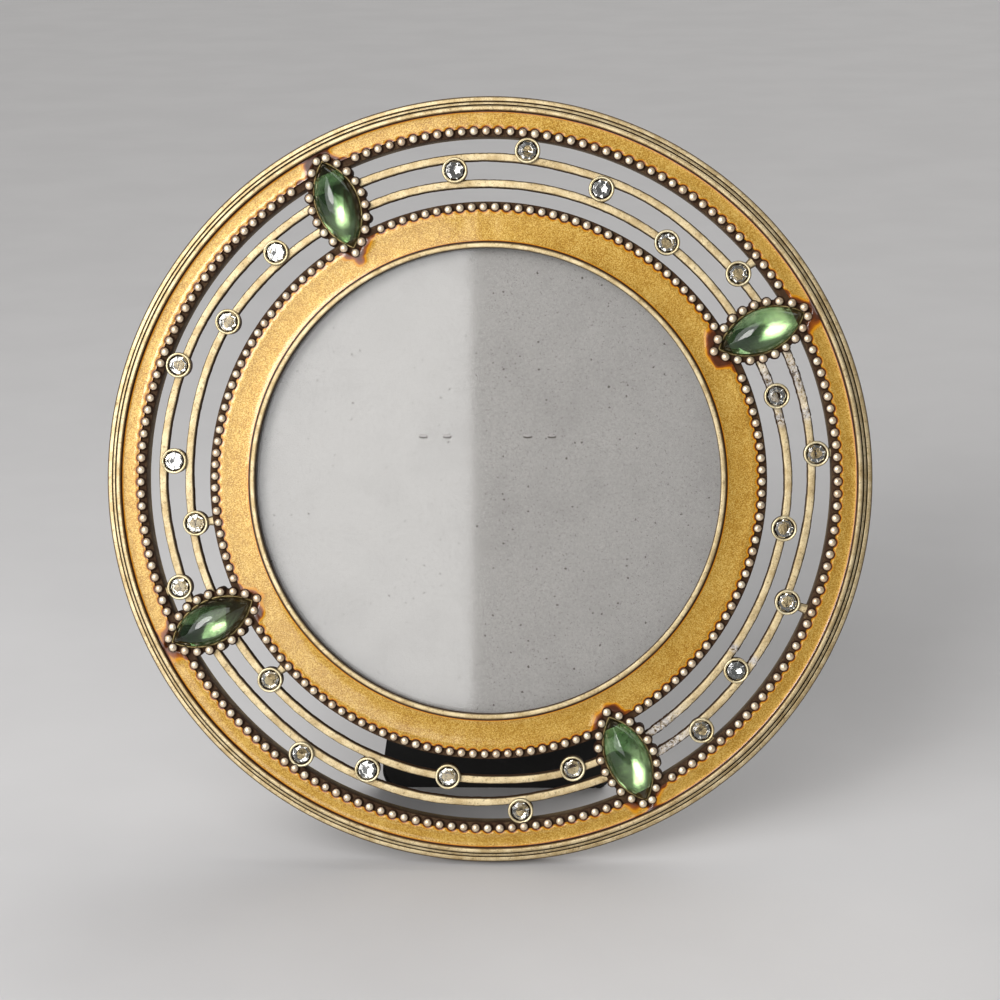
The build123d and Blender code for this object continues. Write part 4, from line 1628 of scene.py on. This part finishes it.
@dataclass(frozen=True)
class EnamelPour:
    """One poured ring of enamel between a metal wall and a row of beads."""

    name: str
    node: str
    wall_radius: float
    bead_edge_radius: float
    bead_line: float
    bead_radius: float
    bead_count: int
    seed: float
    level: float = 5.08
    level_under_setting: float = 4.55
    setting_clearance: float = 0.3
    meniscus: float = 0.16
    lowest_share: float = 0.45
    ripple_scale: float = 0.35
    ripple_rise: float = 0.015
    halo_reach: float = 0.42
    wall_shadow_fade: tuple[float, float] = (0.32, 0.04)
    pool_ripple: float = 1.6
    pool_reach: float = 2.3
    pool_rise: float = 0.1
    bead_dip: float = 0.05
    edge_dip: float = 0.16
    across: int = 20
    steps_to_bead: int = 9

    def build(self, settings: Settings, finishes: "Finishes") -> None:
        """Builds the ring, pooled against the settings and dipping between the beads.

        Args:
            settings: The settings that it flows round.
            finishes: The materials.
        """
        turns = around(self.bead_count * self.steps_to_bead)
        share = np.linspace(0, 1, self.across)[:, None]
        radii = self.wall_radius + (self.bead_edge_radius - self.wall_radius) * share
        x, y = radii * np.cos(turns), radii * np.sin(turns)
        pitch = 2 * math.pi / self.bead_count
        nearest = np.round(turns / pitch) * pitch
        bead_away = np.hypot(x - self.bead_line * np.cos(nearest), y - self.bead_line * np.sin(nearest))
        halo = smooth_step(self.bead_radius + self.halo_reach, self.bead_radius - 0.02, bead_away)
        wall = smooth_step(*self.wall_shadow_fade, share * abs(self.bead_edge_radius - self.wall_radius))
        edge = settings.plate.grown(self.setting_clearance)
        away = np.min([edge.beyond(*place.local(x, y)) for place in settings.places], axis=0)
        ripple = lumps(x, y, self.seed, self.ripple_scale)
        pooled = smooth_step(self.pool_reach, 0.0, away + ripple * self.pool_ripple)
        meniscus = self.meniscus * (2 * np.abs(share - self.lowest_share)) ** 3
        dips = self.bead_dip * halo + self.edge_dip * smooth_step(0.8, 1.0, share)
        level = self.level + meniscus + self.ripple_rise * ripple + self.pool_rise * pooled - dips
        level = np.where(away < -self.setting_clearance, self.level_under_setting, level)
        top = np.stack([x, y, level], -1)
        floor = np.full((1, len(turns)), SIZES.floor_height - 0.1)
        first = np.stack([x[:1], y[:1], floor], -1)
        last = np.stack([x[-1:], y[-1:], floor], -1)
        rings = np.concatenate([first, top, last])
        # Depth browns the enamel: pooled resin by the settings, resin and painted shade round each bead, and
        # painted shade along the metal wall.
        depth = np.clip(np.maximum(0.97 * pooled**1.4, 0.85 * halo) + 0.8 * wall, 0, 1)
        depth = np.concatenate([depth[:1], depth, depth[-1:]])
        form = Form().skin(rings, 0.0, depth, wrap=True)
        put(form.mesh(self.name, PLANE.matrix, sharp_angle=70.0), [finishes.enamel], Slot.ENAMEL, self.node)


@dataclass(frozen=True)
class Backing:
    """Glass, chipboard, the marks of the staple legs in it, and the velvet on its back."""

    mark_places: tuple[tuple[float, float], ...] = ((-12.3, 8.6), (-7.7, 8.6), (7.7, 8.6), (12.3, 8.6))
    mark_reach: float = 1.1
    mark_squash: float = 0.62
    mark_unevenness: float = 0.12
    mark_rings: int = 12
    mark_steps: int = 28
    air_gap: float = 0.03
    puff_rise: float = 0.035
    puff_scale: float = 0.12
    steps: int = 160

    def mark_form(self, x: float, y: float, seed: float) -> Form:
        """A blister that a staple leg raised in the board, with a painted shadow along its lower edge.

        Args:
            x: Place to the right.
            y: Place up the face.
            seed: Fixes its shape.

        Returns:
            The form in the front plane.
        """
        share, turns = 1 - np.arange(self.mark_rings)[:, None] / self.mark_rings, around(self.mark_steps)
        uneven = 1 + self.mark_unevenness * lumps(np.cos(turns), np.sin(turns), seed)
        reach = self.mark_reach * share * uneven
        px, py = reach * np.cos(turns), reach * self.mark_squash * np.sin(turns)

        def bow(drop: float, bend: float, width: float) -> np.ndarray:
            """A soft line that bows across the blister."""
            return np.exp(-((py + drop - bend * px * px) / width) ** 2)

        height = (1 - share * share) ** 1.5 * (0.14 + 0.2 * bow(0.12, 0.25, 0.22)) - 0.02
        # Painted shadow under the blister, carried in the recess mark.
        lower_edge_shadow = bow(0.26, 0.2, 0.15) * (np.abs(px) < 0.8)
        return Form().skin(np.stack([x + px, y + py, SIZES.board_front + height], -1), lower_edge_shadow, caps=True)

    def build(self, finishes: "Finishes") -> None:
        """Builds the glass, the board, its marks and the velvet.

        Args:
            finishes: The materials.
        """
        s = SIZES
        front, back = s.glass_seat_height, s.board_front + self.air_gap
        pane = self.disc(front, back, edge=0.08).mesh("glass", PLANE.matrix, sharp_angle=20.0)
        put(pane, [finishes.pane], Slot.PANE, "glass_pane")
        front, back = s.board_front - self.air_gap, s.board_back
        board = self.disc(front, back, edge=0.12).mesh("chipboard", PLANE.matrix, sharp_angle=20.0)
        put(board, [finishes.chipboard], Slot.CHIPBOARD, "backing_board")
        marks = Form()
        for number, (x, y) in enumerate(self.mark_places):
            marks.join(self.mark_form(x, y, seed=number * 2.3))
        put(marks.mesh("staple_marks", PLANE.matrix), [finishes.chipboard], Slot.CHIPBOARD)
        self.build_velvet(finishes)

    def disc(self, front: float, back: float, edge: float) -> Form:
        """A flat disc of the pane's radius with small bevels.

        Args:
            front: Height of its front face.
            back: Height of its back face.
            edge: Width of the bevels.

        Returns:
            The form in the front plane.
        """
        radius = SIZES.pane_radius
        profile = np.array([(radius * 0.5, front), (radius - edge, front), (radius, front - edge),
                            (radius, back + edge), (radius - edge, back), (radius * 0.5, back)])
        return Form().skin(turned(profile, self.steps), caps=True)

    def build_velvet(self, finishes: "Finishes") -> None:
        """Builds the sheet of velvet on the back of the board.

        Args:
            finishes: The materials.
        """
        s, last_flat_share = SIZES, 0.99
        edge = ((1.0, s.board_back - 0.02), (1.0, s.cloth_back + 0.12), (0.9975, s.cloth_back + 0.02))
        profile = np.array(edge + tuple((last_flat_share - 0.09 * k, s.cloth_back) for k in range(11)))
        rings = turned(profile * [s.pane_radius, 1.0], self.steps)
        puffed = profile[:, :1] < last_flat_share
        puffs = self.puff_rise * np.abs(lumps(rings[..., 0], rings[..., 1], 4.0, self.puff_scale))
        rings[..., 2] += np.where(puffed, puffs, 0.0)
        velvet = Form().skin(rings, caps=True)
        mesh = velvet.mesh("backing_velvet", PLANE.matrix)
        piece = put(mesh, [finishes.velvet], Slot.VELVET, "backing_cloth")


@dataclass(frozen=True)
class Leg:
    """The easel leg: velvet drawn round the board's back and edges."""

    rake_angle: float = 9.0
    hinge_height: float = 3.0
    knuckle_radius: float = 1.3
    top_drop: float = 2.3
    top_width: float = 24.0
    foot_width: float = 48.0
    inside: float = 0.3
    core_thickness: float = 1.8
    cloth_thickness: float = 0.4
    foot_corner: float = 5.0
    top_corner: float = 2.0
    side_steps: int = 16
    puff_rise: float = 0.03
    puff_scale: float = 0.15
    blank_margin: float = 5.0
    blank_share: float = 1.1

    @property
    def pivot(self) -> Vector:
        """Middle of the hinge pin, in millimetres in the row frame."""
        behind = PLANE.normal * (SIZES.cloth_back - self.knuckle_radius)
        return PLANE.origin + PLANE.up * self.hinge_height + behind

    @property
    def depth(self) -> float:
        """Distance of the leg's outer face from the pin's middle."""
        return self.inside + self.core_thickness + self.cloth_thickness

    @property
    def matrix(self) -> Matrix:
        """From the leg's frame, x right, y down the leg, z to the back, to the row frame.

        Returns:
            The matrix from millimetres to metres.
        """
        rake = math.radians(self.rake_angle)
        down = Vector((0, math.sin(rake), -math.cos(rake)))
        back = Vector((0, math.cos(rake), math.sin(rake)))
        turn = Matrix((Vector((-1, 0, 0)), down, back)).transposed().to_4x4()
        return Matrix.Scale(MM, 4) @ Matrix.Translation(self.pivot) @ turn

    @property
    def foot_drop(self) -> float:
        """Length from the pin down to the lowest edge of the foot."""
        rake = math.radians(self.rake_angle)
        return self.pivot.z / math.cos(rake) + self.depth * math.tan(rake)

    def outline(self, growth: float) -> np.ndarray:
        """The leg's outline, grown, in its own frame.

        Args:
            growth: How far outside the board it runs.

        Returns:
            The outline's points.
        """
        corners = [
            (-self.top_width / 2 - growth, self.top_drop - growth, self.top_corner + growth, 0.0),
            (self.top_width / 2 + growth, self.top_drop - growth, self.top_corner + growth, 0.0),
            (self.foot_width / 2 + growth, self.foot_drop + growth, self.foot_corner + growth, 0.0),
            (-self.foot_width / 2 - growth, self.foot_drop + growth, self.foot_corner + growth, 0.0)]
        points, _ = rounded(corners, 8)
        dense = []
        for here, ahead in zip(points, np.roll(points, -1, 0)):
            parts = self.side_steps if np.linalg.norm(ahead - here) > 2 * self.foot_corner else 1
            dense += [here + (ahead - here) * k / parts for k in range(parts)]
        return np.array(dense)

    def build(self, finishes: "Finishes") -> None:
        """Builds the velvet of the leg, cut level at the foot.

        Args:
            finishes: The materials.
        """
        cloth, outer = self.cloth_thickness, self.depth
        layers = ((0.03, outer - cloth), (0.03, self.inside), (cloth - 0.1, self.inside - 0.02),
                  (cloth, self.inside + 0.12), (cloth, outer - 0.2), (cloth - 0.06, outer - 0.05),
                  (cloth - 0.25, outer))
        rings = [lifted(self.outline(growth), depth) for growth, depth in layers]
        middle, last = np.array([0, (self.top_drop + self.foot_drop) / 2, 0]), rings[-1]
        for share in (0.9, 0.75, 0.55, 0.35, 0.15):
            row = middle + (last - middle) * share
            row[:, 2] = outer + self.puff_rise * np.abs(lumps(row[:, 0], row[:, 1], 9.0, self.puff_scale))
            rings.append(row)
        mesh = Form().skin(np.array(rings), caps=True).mesh("leg_velvet", self.matrix)
        self.cut_level(mesh)
        piece = put(mesh, [finishes.velvet], Slot.VELVET, "leg_cloth", body=Body.LEG)
        covered = (self.top_width + self.foot_width) / 2 * self.foot_drop
        flat = ((self.foot_width + self.blank_margin) * MM, (self.foot_drop + self.blank_margin) * MM)
        area = min(self.blank_share * covered * MM * MM, flat[0] * flat[1])

    @staticmethod
    def cut_level(mesh: bpy.types.Mesh) -> None:
        """Cuts the foot of the leg level with the table.

        Args:
            mesh: The leg's mesh in the row frame.
        """
        with editing(mesh) as work:
            everything = work.verts[:] + work.edges[:] + work.faces[:]
            cut = bmesh.ops.bisect_plane(work, geom=everything, plane_co=(0, 0, 0), plane_no=(0, 0, -1),
                                         clear_outer=True)
            edges = [e for e in cut["geom_cut"] if isinstance(e, bmesh.types.BMEdge)]
            bmesh.ops.holes_fill(work, edges=edges)
            bmesh.ops.recalc_face_normals(work, faces=work.faces)


@dataclass(frozen=True)
class Fittings:
    """Steel fittings: hinge, staples, rivets, turn buttons and their screws."""

    softened: tuple[tuple[str, str, Body, float], ...] = (
        ("hinge_upper_leaf", "upper_leaf", Body.FRAME, 0.1),
        ("hinge_lower_leaf", "lower_leaf", Body.LEG, 0.1),
        ("hinge_pin", "pin", Body.FRAME, 0.12), ("hinge_staples", "staples", Body.FRAME, 0.12),
        ("turn_button_top", "top_button", Body.TOP_BUTTON, 0.18),
        ("turn_button_left", "left_button", Body.LEFT_BUTTON, 0.18),
        ("turn_button_right", "right_button", Body.RIGHT_BUTTON, 0.18))
    button_angles: tuple[float, ...] = (90.0, 210.0, 330.0)
    button_radius: float = 50.2
    screw_height: float = -0.9
    screw_head_radius: float = 1.9
    screw_head_height: float = 0.9
    screw_steps: int = 48
    rivet_spacing: float = 15.0
    rivet_drop: float = 5.8
    rivet_head_radius: float = 1.6
    rivet_head_height: float = 0.5
    rivet_steps: int = 28
    edge_angle: float = 50.0
    flat_angle: float = 1.0

    def soften(self, node: str, name: str, body: Body, width: float, finish: bpy.types.Material) -> None:
        """Stands a copy with rounded edges in for a CAD node.

        Args:
            node: The CAD node.
            name: The piece's name.
            body: Its body.
            width: Width of the rounding in millimetres.
            finish: Its material.
        """
        mesh = bpy.data.objects[node].data.copy()
        mesh.name = name
        sharp, flat = math.radians(self.edge_angle), math.radians(self.flat_angle)
        with editing(mesh) as work:
            bmesh.ops.remove_doubles(work, verts=work.verts, dist=1e-6)
            bmesh.ops.dissolve_limit(work, angle_limit=flat, verts=work.verts, edges=work.edges)
            edges = [e for e in work.edges if len(e.link_faces) == 2 and e.calc_face_angle(0.0) > sharp]
            bmesh.ops.bevel(work, geom=edges, offset=width * MM, segments=3, profile=0.6, affect="EDGES",
                            clamp_overlap=True)
        put(smoothed(mesh, sharp_angle=35.0), [finish], Slot.STEEL, node, body=body)

    def screw_form(self) -> Form:
        """A low pan head with a cross recess, head down along -z.

        Returns:
            The form about the screw's axis.
        """
        radius, depth, turns = self.screw_head_radius, self.screw_head_height, around(self.screw_steps)
        head = np.array([(1.0, 0.0), (1.0, 0.35), (0.94, 0.68), (0.8, 0.88), (0.62, 0.97), (0.42, 1.0)])
        rings = list(turned(head * [radius, -depth], len(turns)))
        arm = 0.16 + 0.26 * np.abs(np.cos(2 * turns)) ** 6
        for scale, height in ((1.0, 0.98), (0.9, 0.45)):
            cross = np.stack([np.cos(turns), np.sin(turns)], -1) * (arm * scale * radius)[:, None]
            rings.append(lifted(cross, -height * depth))
        recess = np.repeat([0.0, 1.0], [len(head), 2])
        return Form().skin(np.array(rings), recess[:, None], caps=True)

    def rivet_form(self) -> Form:
        """A domed rivet head along -z."""
        turns, size = np.radians([90, 72, 54, 36, 18, 4]), [self.rivet_head_radius, -self.rivet_head_height]
        profile = np.stack([np.sin(turns), np.cos(turns)], -1) * size
        return Form().skin(turned(profile, self.rivet_steps), caps=True)

    def build(self, copier: CopyTree, leg: Leg, finishes: "Finishes") -> None:
        """Builds the fittings.

        Args:
            copier: Makes the screws and rivets.
            leg: The leg that the rivets hold.
            finishes: The materials.
        """
        for node, name, body, width in self.softened:
            self.soften(node, name, body, width, finishes.steel)
        reach, height = self.button_radius, self.screw_height
        places = [(reach * math.cos(turn), reach * math.sin(turn), height, turn)
                  for turn in np.radians(self.button_angles)]
        screws = copier.copies("button_screw_heads", self.screw_form(), places, finishes.steel, PLANE.matrix,
                               Scatter(seed=11, turn_spread=0.7))
        put(screws, [finishes.steel], Slot.STEEL, "button_screws")
        seats = [(side * self.rivet_spacing / 2, self.rivet_drop, -leg.inside, 0.0) for side in (-1, 1)]
        rivets = copier.copies("rivet_heads", self.rivet_form(), seats, finishes.steel, leg.matrix,
                               Scatter(seed=12, turn_spread=0.5))
        put(rivets, [finishes.steel], Slot.STEEL, "leg_rivets", body=Body.LEG)


class Finishes:
    """All the materials, made once."""

    def __init__(self) -> None:
        """Makes them."""
        self.gold = AntiqueGold("antique_gold").make()
        self.wire = AntiqueGold("sanded_gold", bright=tint(224, 207, 168), shade=tint(190, 168, 126),
                                roughness=0.58, metallic=0.85, grain_mm=0.26, grain_depth_mm=0.06).make()
        self.cup = AntiqueGold("cup_gold", bright=tint(246, 234, 198), shade=tint(214, 196, 152),
                               roughness=0.46).make()
        # The beads' pale tops are a painted highlight and their dark sides painted shade, set by the recess
        # mark.
        self.bead = AntiqueGold("bead_bronze", bright=tint(254, 240, 214), shade=tint(230, 204, 174),
                                patina=tint(62, 36, 20), metallic=0.85, roughness=0.44, patina_low=0.3,
                                patina_high=0.62).make()
        self.setting = AntiqueGold("setting_gold", bright=tint(190, 170, 118),
                                   shade=tint(120, 100, 62)).make()
        self.enamel = AmberEnamel().make()
        # Pale green is the painted highlight away from the light, dark green the painted shade toward it.
        self.green = Glass("green_glass", tint(210, 244, 184), tint(88, 140, 80)).make()
        self.green_foil = Foil("green_foil", tint(240, 250, 226), 0.05).make()
        self.crystal = Glass("clear_crystal", tint(250, 250, 248), tint(250, 250, 248), 1.6).make()
        self.silver_foil = Foil("silver_foil", tint(246, 246, 244), 0.02, 0.1).make()
        self.pane = PaneGlass().make()
        self.chipboard = Chipboard().make()
        self.velvet = Velvet().make()
        self.paper = BlackPaper().make()
        self.steel = PlatedSteel().make()


@dataclass(frozen=True)
class Studio:
    """Camera, lamps, world and floor."""

    view_distance: float = 450.0
    view_right: float = 3.0
    view_above: float = 2.0
    focal_pixels: float = 2364.0
    image_pixels: float = 1000.0
    sensor: float = 36.0
    clip: tuple[float, float] = (0.01, 100.0)
    middle_pixel: tuple[float, float] = (487.1, 481.6)
    roll: float = 0.85
    face_height: float = 4.5
    floor_reach: float = 30.0
    floor_cloud_mm: float = 60.0
    key_from: tuple[float, float, float] = (-0.41, -0.81, 0.42)
    panel_size: tuple[float, float] = (520.0, 560.0)
    panel_distance: float = 420.0
    panel_rise: float = 180.0
    panel_radiance: float = 2.6
    mirrored_edge: float = -2.8
    key_strength: float = 1.25
    key_width: float = 24.0
    back_from: tuple[float, float, float] = (0.55, 0.6, 0.8)
    back_strength: float = 1.4
    back_width: float = 60.0
    key_colour: tuple[float, float, float] = (1.0, 0.985, 0.955)
    surround_colour: tuple[float, float, float, float] = (0.97, 0.98, 1.0, 1.0)
    surround_strength: float = 0.13

    def camera(self) -> None:
        """Sets the camera at the photograph's viewing angle."""
        s = self
        centre = PLANE.origin + PLANE.normal * s.face_height
        right = Vector((1, 0, 0))
        toward = (PLANE.normal + right * math.tan(math.radians(s.view_right))
                  + PLANE.up * math.tan(math.radians(s.view_above))).normalized()
        scale = s.view_distance / s.focal_pixels
        half = s.image_pixels / 2
        shift = (half - s.middle_pixel[0]) * scale, (half - s.middle_pixel[1]) * scale
        aim = centre + right * shift[0] - PLANE.up * shift[1]
        data = bpy.data.cameras.new("camera")
        data.sensor_width = s.sensor
        data.lens = s.focal_pixels * s.sensor / s.image_pixels
        data.clip_start, data.clip_end = s.clip
        camera = stand("camera", data)
        spot = centre + toward * s.view_distance
        camera.location = spot * MM
        turn = Quaternion((0, 0, 1), math.radians(-s.roll))
        camera.rotation_euler = ((aim - spot).to_track_quat("-Z", "Y") @ turn).to_euler()
        bpy.context.scene.camera = camera

    def panel(self) -> None:
        """Adds a soft box in line with the glass, which mirrors its straight right edge."""
        s = self
        data = bpy.data.lights.new("soft_box", "AREA")
        data.shape = "RECTANGLE"
        data.size, data.size_y = (side * MM for side in s.panel_size)
        data.energy = s.panel_radiance * math.pi * data.size * data.size_y
        lamp = stand("soft_box", data)
        camera_right = s.view_distance * math.tan(math.radians(s.view_right))
        edge = s.mirrored_edge - (camera_right - s.mirrored_edge) * (s.panel_distance / s.view_distance)
        middle = Matrix.Translation((edge - s.panel_size[0] / 2, s.panel_rise, s.panel_distance))
        place = PLANE.matrix @ middle
        lamp.location = place.translation
        lamp.rotation_euler = place.to_euler()
        lamp.visible_camera = False

    def sun(self, name: str, source: tuple[float, float, float], strength: float, width: float) -> None:
        """Adds a wide, even light.

        Args:
            name: Its name.
            source: Direction that it comes from.
            strength: Its strength.
            width: Its width in degrees.
        """
        data = bpy.data.lights.new(name, "SUN")
        data.energy = strength
        data.angle = math.radians(width)
        data.color = self.key_colour
        sun = stand(name, data)
        sun.rotation_euler = Vector(source).to_track_quat("Z", "Y").to_euler()

    def world(self) -> None:
        """Sets an even pale surround."""
        world = bpy.data.worlds.new("surround")
        world.use_nodes = True
        inputs = world.node_tree.nodes["Background"].inputs
        inputs["Color"].default_value = self.surround_colour
        inputs["Strength"].default_value = self.surround_strength
        bpy.context.scene.world = world

    def floor(self) -> None:
        """Lays the plain pale floor."""
        mesh = bpy.data.meshes.new("floor")
        reach = self.floor_reach
        mesh.from_pydata([(-reach, -reach, 0), (reach, -reach, 0), (reach, reach, 0), (-reach, reach, 0)], [],
                         [(0, 1, 2, 3)])
        r = Recipe("pale_floor")
        cloud = r.grain(self.floor_cloud_mm, 3.0)
        colour = r.mix(cloud.step(0.3, 0.7), tint(214, 213, 214), tint(218, 217, 218))
        mesh.materials.append(r.finish(r.surface(Base_Color=colour, Roughness=0.7)))
        stand("floor", mesh)

    def build(self) -> None:
        """Builds the studio."""
        self.camera()
        self.world()
        self.floor()
        self.sun("key", self.key_from, self.key_strength, self.key_width)
        self.sun("back", self.back_from, self.back_strength, self.back_width)
        self.panel()


def clear_scene() -> None:
    """Takes out what a new scene starts with."""
    for thing in list(bpy.data.objects):
        bpy.data.objects.remove(thing)


def main() -> None:
    """Builds the frame's pieces in order."""
    logging.basicConfig(level=logging.INFO, format="%(message)s")
    clear_scene()
    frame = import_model()
    bpy.context.scene.view_settings.view_transform = "Standard"
    finishes = Finishes()
    copier = CopyTree()
    settings = Settings()
    leg = Leg()
    Studio().build()
    Casting().build(copier, settings, finishes)
    settings.build(copier, finishes)
    Brilliants().build(copier, finishes)
    s = SIZES
    for pour in (
        EnamelPour("outer_enamel_pour", "outer_enamel", wall_radius=s.channel_radius - 0.02,
                   bead_edge_radius=s.outer_bead_line + 0.5, bead_line=s.outer_bead_line,
                   bead_radius=s.outer_bead_radius, bead_count=s.outer_bead_count, seed=1.5),
        EnamelPour("inner_enamel_pour", "inner_enamel", wall_radius=s.lip_radius - 0.2,
                   bead_edge_radius=s.inner_bead_line - 0.5, bead_line=s.inner_bead_line,
                   bead_radius=s.inner_bead_radius, bead_count=s.inner_bead_count, seed=6.5),
    ):
        pour.build(settings, finishes)
    Backing().build(finishes)
    leg.build(finishes)
    Fittings().build(copier, leg, finishes)
    core = frame["nodes"]["leg_core"].data
    core.materials.clear()
    core.materials.append(finishes.paper)
    LOG.info("leg_core: CAD node with %s", finishes.paper.name)


if __name__ == "__main__":
    main()
